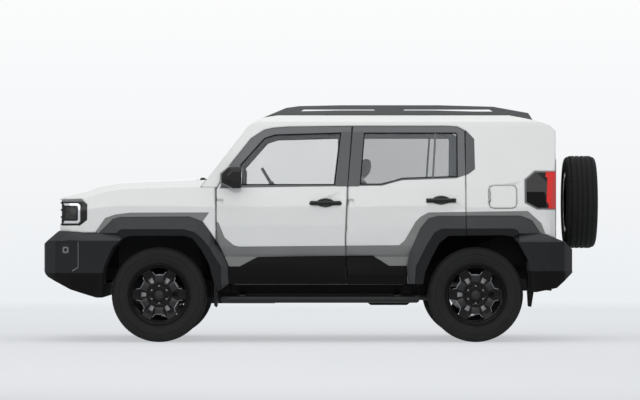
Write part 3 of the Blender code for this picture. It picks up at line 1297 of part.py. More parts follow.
def with_grip(panel, end):
    """The door with its pull handle over a shallow recess."""
    x_low, x_high, z = DOOR_GRIPS[end]
    middle = (x_low + x_high) / 2
    bowl = [
        (middle + 0.070 * math.cos(math.radians(45 * step)), z + 0.036 * math.sin(math.radians(45 * step)))
        for step in range(8)
    ]
    cut(panel, prism("Y", bowl, -1.1, -BODY_HALF + 0.022))
    skin_y = lid_skin_y(z)
    grip = [
        (x_low, -skin_y + 0.006), (x_low + 0.020, -skin_y - 0.022), (x_high - 0.020, -skin_y - 0.022),
        (x_high, -skin_y + 0.006), (x_high - 0.045, -skin_y + 0.006), (x_high - 0.060, -skin_y - 0.008),
        (x_low + 0.060, -skin_y - 0.008), (x_low + 0.045, -skin_y + 0.006),
    ]
    return join(panel, prism("Z", grip, z - 0.017, z + 0.017))


def side_step():
    """Tubular step along the left sill, carried by two brackets from the frame."""
    y, z = -0.880, 0.348
    tube = pipe([(-0.790, -0.760, z), (-0.800, y + 0.02, z), (-0.740, y, z), (0.700, y, z), (0.760, y + 0.02, z),
                 (0.750, -0.760, z)], 0.028, 10)
    for x in (-0.656, 0.610):
        arm = box((x - 0.020, x + 0.020), (y, -RAIL_OUT - SEAT_GAP), (0.360, 0.384))
        join(tube, arm)
    return tube


# Hinges of the rear door: heights of each pair as (low, high), and the share of the outer barrels
TAILGATE_HINGES = [(0.960, 1.020), (1.180, 1.240)]
TAILGATE_AXIS_X = TAIL_X + 0.012
BARREL_SHARE = 0.018


def tailgate_barrel(low, high, outline):
    y = TAILGATE_HINGE_Y
    barrel = rod((TAILGATE_AXIS_X, y, low), (TAILGATE_AXIS_X, y, high), 0.014, 16)
    return join(barrel, prism("Z", outline, low + 0.001, high - 0.001))


def tailgate_leaves():
    """The rear door's halves of its hinges."""
    x, y = TAILGATE_AXIS_X, TAILGATE_HINGE_Y
    leaf = [(x - 0.040, y - 0.070), (x - 0.040, y - 0.016), (x - 0.0175, y - 0.008), (x - 0.006, y + 0.004),
            (x + 0.010, y + 0.002), (x - 0.004, y - 0.070)]
    return [
        tailgate_barrel(low + BARREL_SHARE + SEAT_GAP, high - BARREL_SHARE - SEAT_GAP, leaf)
        for low, high in TAILGATE_HINGES
    ]


def tailgate_lugs():
    """The body's halves of the rear door's hinges."""
    x, y = TAILGATE_AXIS_X, TAILGATE_HINGE_Y
    lug = [(x - 0.050, y - 0.003), (x + 0.004, y - 0.010), (x + 0.008, y + 0.008), (x - 0.050, y + 0.021)]
    lugs = []
    for low, high in TAILGATE_HINGES:
        lugs.append(tailgate_barrel(low, low + BARREL_SHARE, lug))
        lugs.append(tailgate_barrel(high - BARREL_SHARE, high, lug))
    return lugs


def tailgate_glass():
    slab = prism(
        "Y",
        [(TAIL_X - 0.020, 1.200), (TAIL_X - 0.050, 1.800), (TAIL_X - 0.056, 1.800), (TAIL_X - 0.026, 1.200)],
        -1.0, 1.0,
    )
    return common(slab, tailgate_window(-SEAT_GAP))


# Cabin
SEAT_Y = 0.380
WHEEL_CENTRE = (-0.403, -0.380, 1.262)
WHEEL_LEAN = 31.6
STEER_RADIUS = 0.185
COLUMN_LENGTH = 0.040


def seat(y_low, y_high, foot, cushion, back, head, head_y):
    """A seat from side outlines of its foot, cushion, back and head rests."""
    seat_foot = prism("Y", foot, y_low + 0.06, y_high - 0.06)
    pads = [prism("Y", outline, y_low, y_high) for outline in (cushion, back)]
    rests = [prism("Y", head, y - 0.130, y + 0.130) for y in head_y]
    return join(seat_foot, *pads, *rests)


def front_seat():
    floor = FLOOR_Z + FLOOR_WALL + SEAT_GAP
    foot = [(-0.220, floor), (0.140, floor), (0.140, 0.640), (-0.220, 0.640)]
    cushion = [(-0.300, 0.630), (0.210, 0.600), (0.240, 0.720), (0.180, 0.750), (-0.260, 0.780), (-0.310, 0.740)]
    back = [(0.130, 0.680), (0.250, 0.690), (0.385, 1.270), (0.370, 1.340), (0.300, 1.345), (0.250, 1.290)]
    head = [(0.300, 1.330), (0.355, 1.330), (0.405, 1.380), (0.410, 1.500), (0.350, 1.520), (0.310, 1.490)]
    return seat(-SEAT_Y - 0.250, -SEAT_Y + 0.250, foot, cushion, back, head, [-SEAT_Y])


def rear_seat():
    floor = LOAD_FLOOR_Z + FLOOR_WALL + SEAT_GAP
    foot = [(0.700, floor), (1.050, floor), (1.050, 0.700), (0.700, 0.700)]
    cushion = [(0.560, 0.680), (1.060, 0.680), (1.060, 0.780), (0.620, 0.820), (0.560, 0.790)]
    back = [(0.980, 0.700), (1.100, 0.700), (1.220, 1.270), (1.200, 1.340), (1.140, 1.345), (1.100, 1.290)]
    head = [(1.140, 1.330), (1.190, 1.330), (1.235, 1.380), (1.240, 1.480), (1.190, 1.500), (1.155, 1.470)]
    return seat(-0.545, 0.545, foot, cushion, back, head, [-0.330, 0.330])


def column_point(reach):
    """A point on the steering wheel's axis, so far from its centre towards the driver."""
    lean = math.radians(WHEEL_LEAN)
    return Vector(WHEEL_CENTRE) + Vector((math.cos(lean), 0, math.sin(lean))) * reach


def dashboard():
    face = FIREWALL_X
    outline = [
        (face, 0.900), (-0.700, 0.860), (-0.640, 0.960), (-0.610, 1.140), (-0.640, 1.215), (-0.760, 1.240),
        (-0.930, 1.240), (face, 1.220),
    ]
    board = prism("Y", outline, -0.680, 0.680)
    return join(board, rod(column_point(-0.300), column_point(-COLUMN_LENGTH - SEAT_GAP), 0.032, 16))


def steering_wheel():
    tube = [
        (STEER_RADIUS + 0.014 * math.cos(math.radians(60 * step)), 0.014 * math.sin(math.radians(60 * step)))
        for step in range(6)
    ]
    wheel = turned(tube, (0, 0, 0), 28)
    spokes = [
        box((-0.178, 0.178), (-0.008, 0.008), (-0.020, 0.020)),
        box((-0.020, 0.020), (-0.008, 0.008), (-0.178, 0.000)),
        rod((0, 0.022, 0), (0, -COLUMN_LENGTH, 0), 0.055, 16),
    ]
    join(wheel, *spokes)
    return moved(
        wheel,
        Matrix.Rotation(math.radians(-90), 4, "Z"),
        Matrix.Rotation(math.radians(-WHEEL_LEAN), 4, "Y"),
        Matrix.Translation(WHEEL_CENTRE),
    )


def publish_sides():
    """The body's two sides: the filler is on the left, the rear door's hinges on the right."""
    left = body_side()
    right = mirrored(left)
    pocket = prism("Y", lid_outline(0.0055), -1.1, -BODY_HALF + 0.040)
    join(cut(left, pocket), *lid_lugs())
    publish("left_body_side", left, "body_paint")
    publish("right_body_side", join(right, *tailgate_lugs()), "body_paint")


def publish_doors():
    for end, panel, hinge_x in (("front", front_door(), FRONT_HINGE_X), ("rear", rear_door(), REAR_HINGE_X)):
        publish_pair(end + "_door", with_grip(panel, end), "body_paint", (hinge_x, -HINGE_Y, DOOR_BOTTOM_Z))
    publish_pair("front_glass", side_pane(FRONT_GLASS), "glass")
    publish_pair("rear_glass", side_pane(REAR_GLASS), "glass")
    hinge = (TAILGATE_AXIS_X, TAILGATE_HINGE_Y, TAILGATE_LOW_Z)
    publish("tailgate", join(tailgate(), *tailgate_leaves()), "body_paint", hinge)
    publish("tailgate_glass", tailgate_glass(), "glass")
    publish("fuel_lid", fuel_lid(), "body_paint", (LID_HINGE_X, -lid_skin_y(1.185, 0.002), 1.185))


def publish_body():
    publish("roof", roof(), "body_paint")
    publish("windscreen", windscreen(), "glass")
    publish("grille", grille(), "black_trim")
    publish("bonnet", bonnet(), "body_paint", (BONNET_PIN[0], 0, BONNET_PIN[1]))
    publish("firewall", firewall(), "chassis_black")
    publish("front_bumper", front_bumper(), "cladding")
    publish("rear_bumper", rear_bumper(), "cladding")
    publish_pair("fender", fender(), "body_paint")
    publish_pair("front_flare", front_flare_and_liner(), "cladding")
    publish_pair("rear_flare", quarter_flare(), "cladding")
    publish_pair("head_lamp", head_lamp(), "lamp_lens")
    publish_pair("tail_lamp", rear_lamp(), "red_lens")
    publish_pair("mirror", mirror(), "black_trim")
    publish_pair("roof_rail", roof_rail(), "black_trim")
    publish_pair("side_step", side_step(), "black_trim")


def publish_chassis():
    publish("ladder_frame", join(ladder_frame(), fuel_tank()), "chassis_black")
    publish("front_suspension", front_suspension(), "cast_metal")
    publish_pair("knuckle", knuckle(), "cast_metal", (FRONT_AXLE_X, -KINGPIN_Y, AXLE_Z))
    publish("rear_axle", rear_axle(), "cast_metal")
    publish("powertrain", powertrain(), "cast_metal")
    publish("exhaust", exhaust(), "cast_metal")
    publish("floor_pan", floor_pan(), "chassis_black")


def publish_cabin():
    publish("dashboard", dashboard(), "cabin_plastic")
    publish("steering_wheel", steering_wheel(), "cabin_plastic", WHEEL_CENTRE)
    publish_pair("front_seat", front_seat(), "seat_fabric")
    publish("rear_seat", rear_seat(), "seat_fabric")


def main():
    for old in list(bpy.data.objects):
        bpy.data.objects.remove(old)
    publish_sides()
    publish_doors()
    publish_body()
    publish_chassis()
    publish_wheels()
    publish_cabin()


if __name__ == "__main__":
    main()
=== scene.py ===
"""Finishes, trim, wheels, lamps, seats and studio for a packed four-wheel-drive estate car."""
import math

import bpy
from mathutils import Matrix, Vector


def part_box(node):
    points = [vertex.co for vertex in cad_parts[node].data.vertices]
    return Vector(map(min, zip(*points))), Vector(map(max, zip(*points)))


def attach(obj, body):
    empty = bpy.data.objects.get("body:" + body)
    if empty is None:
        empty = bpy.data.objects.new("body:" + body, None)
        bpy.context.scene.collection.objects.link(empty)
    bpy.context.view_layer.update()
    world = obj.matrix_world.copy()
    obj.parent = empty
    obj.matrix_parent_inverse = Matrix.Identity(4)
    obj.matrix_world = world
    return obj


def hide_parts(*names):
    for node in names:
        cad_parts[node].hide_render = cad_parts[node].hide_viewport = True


bl_info = {
    "name": "Off-road car dresser",
    "version": (1, 0, 0),
    "blender": (4, 5, 0),
    "location": "3D View > Sidebar > Car",
    "description": "Dresses the packed frame of an off-road car and sets it in a studio",
    "category": "Object",
}

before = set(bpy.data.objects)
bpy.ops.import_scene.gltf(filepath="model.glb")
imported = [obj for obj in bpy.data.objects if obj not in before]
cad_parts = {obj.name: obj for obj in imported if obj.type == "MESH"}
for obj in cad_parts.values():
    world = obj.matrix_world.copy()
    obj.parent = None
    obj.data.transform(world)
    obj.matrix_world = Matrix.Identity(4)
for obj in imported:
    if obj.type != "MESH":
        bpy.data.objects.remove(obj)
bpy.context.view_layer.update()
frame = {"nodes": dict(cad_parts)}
NODES = frame["nodes"]

# Wheels: where the axles and the spare are, and the tyre
AXLES_X = (-1.3325, 1.2475)
AXLE_Z = 0.3875
WHEEL_Y = 0.7725
SPARE = (2.1575, 0.0, 1.149)
TYRE_RADIUS = 0.3875
LUGS, SPOKES = 64, 6
ROUND = 112  # steps round a tyre or rim

# Modelling: points nearer than this are one point
MERGE = 0.00002


# --- Finishes ------------------------------------------------------------------------------

def linear(red, green, blue):
    """A colour written as 0 to 255 screen values, as Blender's linear one."""
    values = [value / 255 for value in (red, green, blue)]
    return [v / 12.92 if v <= 0.04045 else ((v + 0.055) / 1.055) ** 2.4 for v in values] + [1.0]


def group_of(name, inputs, outputs):
    """An empty node group with its named sockets: the tree, its input node and its output node."""
    tree = bpy.data.node_groups.new(name, "ShaderNodeTree")
    for label, kind, value in inputs:
        socket = tree.interface.new_socket(label, in_out="INPUT", socket_type=kind)
        socket.default_value = value
    for label, kind in outputs:
        tree.interface.new_socket(label, in_out="OUTPUT", socket_type=kind)
    return tree, tree.nodes.new("NodeGroupInput"), tree.nodes.new("NodeGroupOutput")


def maths(tree, operation, first, second, clamp=False):
    node = tree.nodes.new("ShaderNodeMath")
    node.operation, node.use_clamp = operation, clamp
    for socket, value in zip(node.inputs, (first, second)):
        if isinstance(value, (int, float)):
            socket.default_value = value
        else:
            tree.links.new(value, socket)
    return node.outputs[0]


def blend_colours(tree, factor, first, second):
    node = tree.nodes.new("ShaderNodeMix")
    node.data_type, node.blend_type = "RGBA", "MIX"
    for socket, value in ((node.inputs[0], factor), (node.inputs[6], first), (node.inputs[7], second)):
        if isinstance(value, (int, float, list)):
            socket.default_value = value
        else:
            tree.links.new(value, socket)
    return node.outputs[2]


def noise(tree, vector, scale, detail=3.0):
    node = tree.nodes.new("ShaderNodeTexNoise")
    node.inputs["Detail"].default_value = detail
    tree.links.new(vector, node.inputs["Vector"])
    if isinstance(scale, (int, float)):
        node.inputs["Scale"].default_value = scale
    else:
        tree.links.new(scale, node.inputs["Scale"])
    return node.outputs["Fac"]


COLOUR, VALUE, NORMAL = "NodeSocketColor", "NodeSocketFloat", "NodeSocketVector"


def grain_group():
    """Moulded or cast grain: a tone that drifts, a roughness that varies and a fine bump."""
    tree, given, out = group_of("Grain", [
        ("Colour", COLOUR, (0.5, 0.5, 0.5, 1)), ("Drift", VALUE, 0.1), ("Scale", VALUE, 400.0),
        ("Depth", VALUE, 0.2), ("Roughness", VALUE, 0.5), ("Spread", VALUE, 0.1), ("Softness", VALUE, 0.0),
    ], [("Colour", COLOUR), ("Roughness", VALUE), ("Normal", NORMAL)])
    where = tree.nodes.new("ShaderNodeTexCoord").outputs["Object"]
    broad = noise(tree, where, 3.0)
    fine = noise(tree, where, given.outputs["Scale"], 2.0)
    tone = maths(tree, "SUBTRACT", broad, 0.5)
    speck = maths(tree, "MULTIPLY", maths(tree, "SUBTRACT", fine, 0.5), 0.6)
    tone = maths(tree, "MULTIPLY", maths(tree, "ADD", tone, speck), given.outputs["Drift"])
    scaled = tree.nodes.new("ShaderNodeVectorMath")
    scaled.operation = "SCALE"
    tree.links.new(given.outputs["Colour"], scaled.inputs[0])
    tree.links.new(maths(tree, "ADD", maths(tree, "MULTIPLY", tone, 2.0), 1.0), scaled.inputs["Scale"])
    tree.links.new(scaled.outputs[0], out.inputs["Colour"])
    rough = maths(tree, "MULTIPLY", maths(tree, "SUBTRACT", fine, 0.5), given.outputs["Spread"])
    tree.links.new(maths(tree, "ADD", given.outputs["Roughness"], rough, True), out.inputs["Roughness"])
    bump = tree.nodes.new("ShaderNodeBump")
    bump.inputs["Distance"].default_value = 0.0008
    tree.links.new(given.outputs["Depth"], bump.inputs["Strength"])
    tree.links.new(fine, bump.inputs["Height"])
    edge = tree.nodes.new("ShaderNodeBevel")
    edge.samples = 4
    tree.links.new(given.outputs["Softness"], edge.inputs["Radius"])
    tree.links.new(edge.outputs[0], bump.inputs["Normal"])
    tree.links.new(bump.outputs[0], out.inputs["Normal"])
    return tree


def dust_group():
    """Road dust: a pale film that thins out upwards and lies in patches."""
    tree, given, out = group_of("Road dust", [
        ("Colour", COLOUR, (0.5, 0.5, 0.5, 1)), ("Roughness", VALUE, 0.5),
        ("Dust", COLOUR, (0.3, 0.28, 0.25, 1)), ("Amount", VALUE, 0.2), ("Level", VALUE, 0.8),
    ], [("Colour", COLOUR), ("Roughness", VALUE)])
    where = tree.nodes.new("ShaderNodeTexCoord").outputs["Object"]
    split = tree.nodes.new("ShaderNodeSeparateXYZ")
    tree.links.new(where, split.inputs[0])
    low = maths(tree, "SUBTRACT", given.outputs["Level"], split.outputs["Z"])
    low = maths(tree, "DIVIDE", low, given.outputs["Level"], True)
    patches = maths(tree, "MULTIPLY", noise(tree, where, 9.0, 5.0), 1.5)
    mask = maths(tree, "MULTIPLY", maths(tree, "MULTIPLY", low, patches), given.outputs["Amount"], True)
    tree.links.new(blend_colours(tree, mask, given.outputs["Colour"], given.outputs["Dust"]), out.inputs["Colour"])
    rough = maths(tree, "ADD", given.outputs["Roughness"], maths(tree, "MULTIPLY", mask, 0.6), True)
    tree.links.new(rough, out.inputs["Roughness"])
    return tree


def weave_group():
    """Woven cloth: two crossing sets of threads, with a soft tone between them."""
    tree, given, out = group_of("Weave", [
        ("Warp", COLOUR, (0.1, 0.1, 0.1, 1)), ("Weft", COLOUR, (0.05, 0.05, 0.05, 1)),
        ("Scale", VALUE, 500.0), ("Depth", VALUE, 0.4),
    ], [("Colour", COLOUR), ("Roughness", VALUE), ("Normal", NORMAL)])
    where = tree.nodes.new("ShaderNodeTexCoord").outputs["Object"]
    height = None
    for direction in ("X", "Y", "Z"):
        wave = tree.nodes.new("ShaderNodeTexWave")
        wave.bands_direction = direction
        tree.links.new(where, wave.inputs["Vector"])
        tree.links.new(given.outputs["Scale"], wave.inputs["Scale"])
        wave.inputs["Distortion"].default_value = 0.6
        strand = wave.outputs["Fac"]
        height = strand if height is None else maths(tree, "MAXIMUM", height, strand)
    tone = blend_colours(tree, height, given.outputs["Weft"], given.outputs["Warp"])
    drift = maths(tree, "ADD", maths(tree, "MULTIPLY", noise(tree, where, 14.0), 0.5), 0.75)
    scaled = tree.nodes.new("ShaderNodeVectorMath")
    scaled.operation = "SCALE"
    tree.links.new(tone, scaled.inputs[0])
    tree.links.new(drift, scaled.inputs["Scale"])
    tree.links.new(scaled.outputs[0], out.inputs["Colour"])
    tree.links.new(maths(tree, "SUBTRACT", 0.98, maths(tree, "MULTIPLY", height, 0.12)), out.inputs["Roughness"])
    bump = tree.nodes.new("ShaderNodeBump")
    bump.inputs["Distance"].default_value = 0.0006
    tree.links.new(given.outputs["Depth"], bump.inputs["Strength"])
    tree.links.new(height, bump.inputs["Height"])
    tree.links.new(bump.outputs[0], out.inputs["Normal"])
    return tree


def placed(tree, group, **values):
    """A group put in a material's tree with its own values."""
    node = tree.nodes.new("ShaderNodeGroup")
    node.node_tree = bpy.data.node_groups[group]
    for label, value in values.items():
        socket = node.inputs[label.replace("_", " ")]
        if isinstance(value, bpy.types.NodeSocket):
            tree.links.new(value, socket)
        else:
            socket.default_value = value
    return node


def shader_of(name):
    """A new material and its Principled shader."""
    material = bpy.data.materials.new(name)
    material.use_nodes = True
    return material, material.node_tree, material.node_tree.nodes["Principled BSDF"]


def grained(name, colour, rough, drift, scale, depth, metal=0.0, coat=0.0, spread=0.1, dust=0.0, level=0.8,
            soft=0.0, shine=0.5):
    """A hard finish: grain, and over it road dust."""
    material, tree, principled = shader_of(name)
    grain = placed(tree, "Grain", Colour=colour, Drift=drift, Scale=scale, Depth=depth,
                   Roughness=rough, Spread=spread, Softness=soft)
    film = placed(tree, "Road dust", Colour=grain.outputs["Colour"], Roughness=grain.outputs["Roughness"],
                  Dust=linear(128, 125, 120), Amount=dust, Level=level)
    tree.links.new(film.outputs["Colour"], principled.inputs["Base Color"])
    tree.links.new(film.outputs["Roughness"], principled.inputs["Roughness"])
    tree.links.new(grain.outputs["Normal"], principled.inputs["Normal"])
    principled.inputs["Metallic"].default_value = metal
    principled.inputs["Specular IOR Level"].default_value = shine
    principled.inputs["Coat Weight"].default_value = coat
    principled.inputs["Coat Roughness"].default_value = 0.05
    return material


def glass_of(name, tint, rough, film):
    """Clear pane: mostly see-through, with a reflection that grows towards its edges."""
    material, tree, principled = shader_of(name)
    where = tree.nodes.new("ShaderNodeTexCoord").outputs["Object"]
    haze = noise(tree, where, 2.5)
    pale = [min(1.0, value * 1.06) for value in tint[:3]] + [1.0]
    tree.links.new(blend_colours(tree, haze, tint, pale), principled.inputs["Base Color"])
    rise = maths(tree, "MULTIPLY", noise(tree, where, 60.0), 0.02)
    tree.links.new(maths(tree, "ADD", rise, rough), principled.inputs["Roughness"])
    principled.inputs["Transmission Weight"].default_value = 1.0
    principled.inputs["IOR"].default_value = 1.03 + film
    return material


def pane_of(name, tint, clear):
    """Thin window glass: tinted, see-through by its alpha, with a glossy face."""
    material, tree, principled = shader_of(name)
    where = tree.nodes.new("ShaderNodeTexCoord").outputs["Object"]
    haze = noise(tree, where, 1.7)
    deep = [value * 0.85 for value in tint[:3]] + [1.0]
    tree.links.new(blend_colours(tree, haze, tint, deep), principled.inputs["Base Color"])
    edge = tree.nodes.new("ShaderNodeLayerWeight")
    edge.inputs["Blend"].default_value = 0.12
    solid = maths(tree, "ADD", 1.0 - clear, maths(tree, "MULTIPLY", edge.outputs["Fresnel"], 0.5), True)
    streak = maths(tree, "MULTIPLY", maths(tree, "SUBTRACT", haze, 0.5), 0.06)
    tree.links.new(maths(tree, "ADD", solid, streak, True), principled.inputs["Alpha"])
    principled.inputs["Roughness"].default_value = 0.03
    principled.inputs["Coat Weight"].default_value = 0.5
    return material


def cloth_of(name, warp, weft):
    material, tree, principled = shader_of(name)
    weave = placed(tree, "Weave", Warp=warp, Weft=weft, Scale=90.0, Depth=0.5)
    for label, socket in (("Colour", "Base Color"), ("Roughness", "Roughness"), ("Normal", "Normal")):
        tree.links.new(weave.outputs[label], principled.inputs[socket])
    principled.inputs["Sheen Weight"].default_value = 0.25
    return material


def make_finishes(colours):
    """Every finish on the car, by name."""
    grain_group()
    dust_group()
    weave_group()
    return {
        "paint": grained("White paint", colours["paint"], 0.32, coat=1.0, drift=0.02, scale=180.0, depth=0.02,
                         spread=0.04, dust=0.10, level=0.9, soft=0.022),
        "cladding": grained("Grained dark cladding", colours["cladding"], 0.62, drift=0.14, scale=900.0, depth=0.25,
                            dust=0.05, level=1.0, soft=0.010, shine=0.22),
        # Painted shade: a grey that stands for the white paint where its faces above the flares and the cladding turn
        # down into shade; the same grey draws painted highlight lines.
        "facet": grained("Grained grey facets", colours["facet"], 0.55, drift=0.10, scale=900.0, depth=0.2,
                         dust=0.05, level=1.0, soft=0.010, shine=0.3),
        "lower": grained("Black lower plastic", colours["lower"], 0.50, drift=0.15, scale=700.0, depth=0.25,
                         dust=0.02, level=0.7, soft=0.010, shine=0.10),
        "gloss": grained("Gloss black trim", linear(8, 8, 9), 0.12, coat=0.35, drift=0.1, scale=250.0, depth=0.01,
                         spread=0.03, dust=0.01, level=1.0, shine=0.15, soft=0.008),
        "band": grained("Dark arch edge", linear(26, 27, 29), 0.60, drift=0.14, scale=900.0, depth=0.25, dust=0.04,
                        level=1.0, shine=0.15),
        "bumper": grained("Dark bumper plastic", colours["bumper"], 0.60, drift=0.14, scale=900.0, depth=0.25,
                          dust=0.03, level=0.9, soft=0.012, shine=0.16),
        "pillar": grained("Pillar film", linear(95, 97, 99), 0.42, drift=0.05, scale=500.0, depth=0.05, shine=0.3),
        "frame": grained("Satin window frames", colours["frame"], 0.42, drift=0.06, scale=500.0, depth=0.06,
                         soft=0.004, shine=0.4),
        "seal": grained("Rubber seals", linear(34, 34, 36), 0.75, drift=0.12, scale=300.0, depth=0.2, shine=0.2),
        "rail": grained("Dark anodised rails", linear(88, 90, 91), 0.42, metal=0.30, drift=0.08, scale=600.0,
                        depth=0.04, soft=0.008, shine=0.4),
        "step": grained("Dark coated step", linear(30, 31, 32), 0.42, metal=0.1, drift=0.16, scale=350.0, depth=0.2,
                        dust=0.05, level=0.6, shine=0.3),
        "tyre": grained("Tyre rubber", linear(30, 31, 30), 0.80, drift=0.25, scale=220.0, depth=0.3, dust=0.05,
                        level=1.6, shine=0.20),
        "wheel": grained("Gloss black wheels", linear(6, 6, 7), 0.20, coat=0.12, drift=0.2, scale=160.0,
                         depth=0.02, dust=0.01, level=1.6, shine=0.12, soft=0.003),
        "flats": grained("Satin hub flats", linear(24, 25, 26), 0.30, coat=0.2, drift=0.1, scale=300.0, depth=0.05,
                         shine=0.3),
        # Painted highlight: bright metal laid on the lines where light catches the inner ends of the wheel's large
        # openings.
        "machined": grained("Machined bright edges", linear(150, 152, 156), 0.30, metal=0.9, drift=0.06,
                            scale=500.0, depth=0.05),
        "nuts": grained("Plated nuts", linear(120, 121, 124), 0.30, metal=0.9, drift=0.08, scale=500.0, depth=0.05),
        "steel": grained("Turned brake steel", linear(176, 176, 178), 0.34, metal=1.0, drift=0.12, scale=700.0,
                         depth=0.12),
        "cast": grained("Cast metal", linear(50, 51, 53), 0.60, metal=0.6, drift=0.2, scale=260.0, depth=0.35,
                        dust=0.10, level=1.1, shine=0.3),
        "chassis": grained("Chassis black", linear(14, 14, 15), 0.65, drift=0.2, scale=180.0, depth=0.25, dust=0.04,
                           level=1.0, shine=0.15),
        "silver": grained("Silver lamp trim", linear(205, 207, 210), 0.22, metal=0.9, drift=0.05, scale=400.0,
                          depth=0.04),
        "white": grained("Blank white plate", linear(236, 236, 232), 0.4, drift=0.03, scale=300.0, depth=0.04),
        "red": grained("Red lamp lens", linear(236, 30, 22), 0.25, coat=0.15, drift=0.08, scale=900.0, depth=0.2,
                       shine=0.2),
        "mirror": grained("Mirror silver", linear(225, 228, 230), 0.03, metal=1.0, drift=0.01, scale=50.0,
                          depth=0.0, spread=0.0),
        "cabin": grained("Cabin plastic", colours["cabin"], 0.6, drift=0.12, scale=600.0, depth=0.3, shine=0.3),
        "lens": glass_of("Clear lamp cover", linear(236, 238, 240), 0.02, 0.30),
        "window": pane_of("Tinted window glass", linear(176, 182, 184), 0.88),
        "rear_window": pane_of("Deeper rear door glass", linear(140, 146, 150), 0.76),
        "dark_window": pane_of("Dark rear glass", linear(60, 64, 66), 0.62),
        "fabric": cloth_of("Seat cloth", linear(66, 66, 68), linear(36, 36, 38)),
    }


NODE_FINISH = {
    "paint": ("left_body_side", "right_body_side", "roof", "left_fender", "right_fender", "bonnet", "tailgate",
              "left_front_door", "right_front_door", "left_rear_door", "right_rear_door", "fuel_lid"),
    "window": ("windscreen", "left_front_glass", "right_front_glass"),
    "rear_window": ("left_rear_glass", "right_rear_glass"),
    "dark_window": ("tailgate_glass",),
    "cladding": ("left_front_flare", "right_front_flare", "left_rear_flare", "right_rear_flare"),
    "bumper": ("front_bumper", "rear_bumper"),
    "rail": ("left_roof_rail", "right_roof_rail"),
    "step": ("left_side_step", "right_side_step"),
    "chassis": ("ladder_frame", "floor_pan", "firewall"),
    "cast": ("front_suspension", "left_knuckle", "right_knuckle", "rear_axle", "powertrain", "exhaust"),
    "cabin": ("dashboard", "steering_wheel"),
}


def dress_nodes(finishes):
    """Gives each CAD node that shows its finish."""
    for finish, names in NODE_FINISH.items():
        for name in names:
            for slot in NODES[name].material_slots:
                slot.material = finishes[finish]


# --- Modelling -----------------------------------------------------------------------------

def deselect():
    if bpy.context.mode != "OBJECT":
        bpy.ops.object.mode_set(mode="OBJECT")
    bpy.ops.object.select_all(action="DESELECT")


def only(piece):
    deselect()
    piece.select_set(True)
    bpy.context.view_layer.objects.active = piece


def edit(piece, mode="FACE"):
    """Edit mode on one piece, with nothing selected."""
    only(piece)
    bpy.ops.object.mode_set(mode="EDIT")
    bpy.ops.mesh.select_mode(type=mode)
    bpy.ops.mesh.select_all(action="DESELECT")


def pick(piece, kind, test):
    """Selects the faces, edges or points whose place passes the test, and says how many did."""
    bpy.ops.object.mode_set(mode="OBJECT")
    mesh, found = piece.data, 0
    for part in getattr(mesh, kind):
        if kind == "vertices":
            chosen = test(part.co)
        elif kind == "edges":
            ends = [mesh.vertices[i].co for i in part.vertices]
            chosen = test(ends[0]) and test(ends[1])
        else:
            chosen = test(part.center, part.normal)
        part.select = chosen
        found += chosen
    bpy.ops.object.mode_set(mode="EDIT")
    return found


def settle(piece):
    """Puts the object's place, turn and size into its mesh."""
    only(piece)
    bpy.ops.object.transform_apply(location=True, rotation=True, scale=True)


def modifier(piece, kind, **settings):
    """Adds a modifier and applies it."""
    only(piece)
    added = piece.modifiers.new(kind.title(), kind)
    for label, value in settings.items():
        setattr(added, label, value)
    bpy.ops.object.modifier_apply(modifier=added.name)


def bevelled(piece, width, segments, angle=30.0):
    modifier(piece, "BEVEL", width=width, segments=segments, limit_method="ANGLE", angle_limit=math.radians(angle),
             use_clamp_overlap=True)


def smooth(piece, angle):
    only(piece)
    bpy.ops.object.shade_smooth_by_angle(angle=math.radians(angle))


def painted(piece, name, finish):
    piece.name = name
    piece.data.name = name
    piece.data.materials.clear()
    piece.data.materials.append(finish)
    return piece


def slab(axis, outline, low, high):
    """A plate of any outline: a filled ring shaped to it in the plane across the axis, then extruded."""
    deselect()
    bpy.ops.mesh.primitive_circle_add(vertices=len(outline), radius=0.1, fill_type="NGON", location=(0, 0, 0))
    piece = bpy.context.object
    order = {"X": lambda a, b, w: (w, a, b), "Y": lambda a, b, w: (a, w, b), "Z": lambda a, b, w: (a, b, w)}[axis]
    for point, (a, b) in zip(piece.data.vertices, outline):
        point.co = order(a, b, low)
    edit(piece)
    bpy.ops.mesh.select_all(action="SELECT")
    bpy.ops.mesh.extrude_region_move(TRANSFORM_OT_translate={"value": order(0, 0, high - low)})
    bpy.ops.mesh.select_all(action="SELECT")
    bpy.ops.mesh.normals_make_consistent(inside=False)
    bpy.ops.object.mode_set(mode="OBJECT")
    return piece


def block(low, high):
    """A box between two corners."""
    deselect()
    centre = [(a + b) / 2 for a, b in zip(low, high)]
    bpy.ops.mesh.primitive_cube_add(size=1, location=centre, scale=[b - a for a, b in zip(low, high)])
    piece = bpy.context.object
    settle(piece)
    return piece


def turned(profile, centre, steps, axis="Y"):
    """A profile of (radius, offset) points spun about an axis through the centre."""
    deselect()
    bpy.ops.mesh.primitive_circle_add(vertices=len(profile), radius=0.1, location=(0, 0, 0))
    piece = bpy.context.object
    x, y, z = centre
    for point, (radius, along) in zip(piece.data.vertices, profile):
        point.co = (x, y + along, z + radius) if axis == "Y" else (x + radius, y, z + along)
    edit(piece, "VERT")
    bpy.ops.mesh.select_all(action="SELECT")
    bpy.ops.mesh.spin(steps=steps, angle=2 * math.pi, center=centre,
                      axis=(0, 1, 0) if axis == "Y" else (0, 0, 1))
    bpy.ops.mesh.select_all(action="SELECT")
    bpy.ops.mesh.remove_doubles(threshold=MERGE)
    bpy.ops.mesh.normals_make_consistent(inside=False)
    bpy.ops.object.mode_set(mode="OBJECT")
    return piece


def joined(pieces):
    only(pieces[0])
    for piece in pieces:
        piece.select_set(True)
    bpy.ops.object.join()
    return bpy.context.object


def combine(piece, operation, tool):
    """A Boolean with another piece, which it uses up."""
    modifier(piece, "BOOLEAN", operation=operation, solver="EXACT", object=tool)
    bpy.data.objects.remove(tool)
    return piece


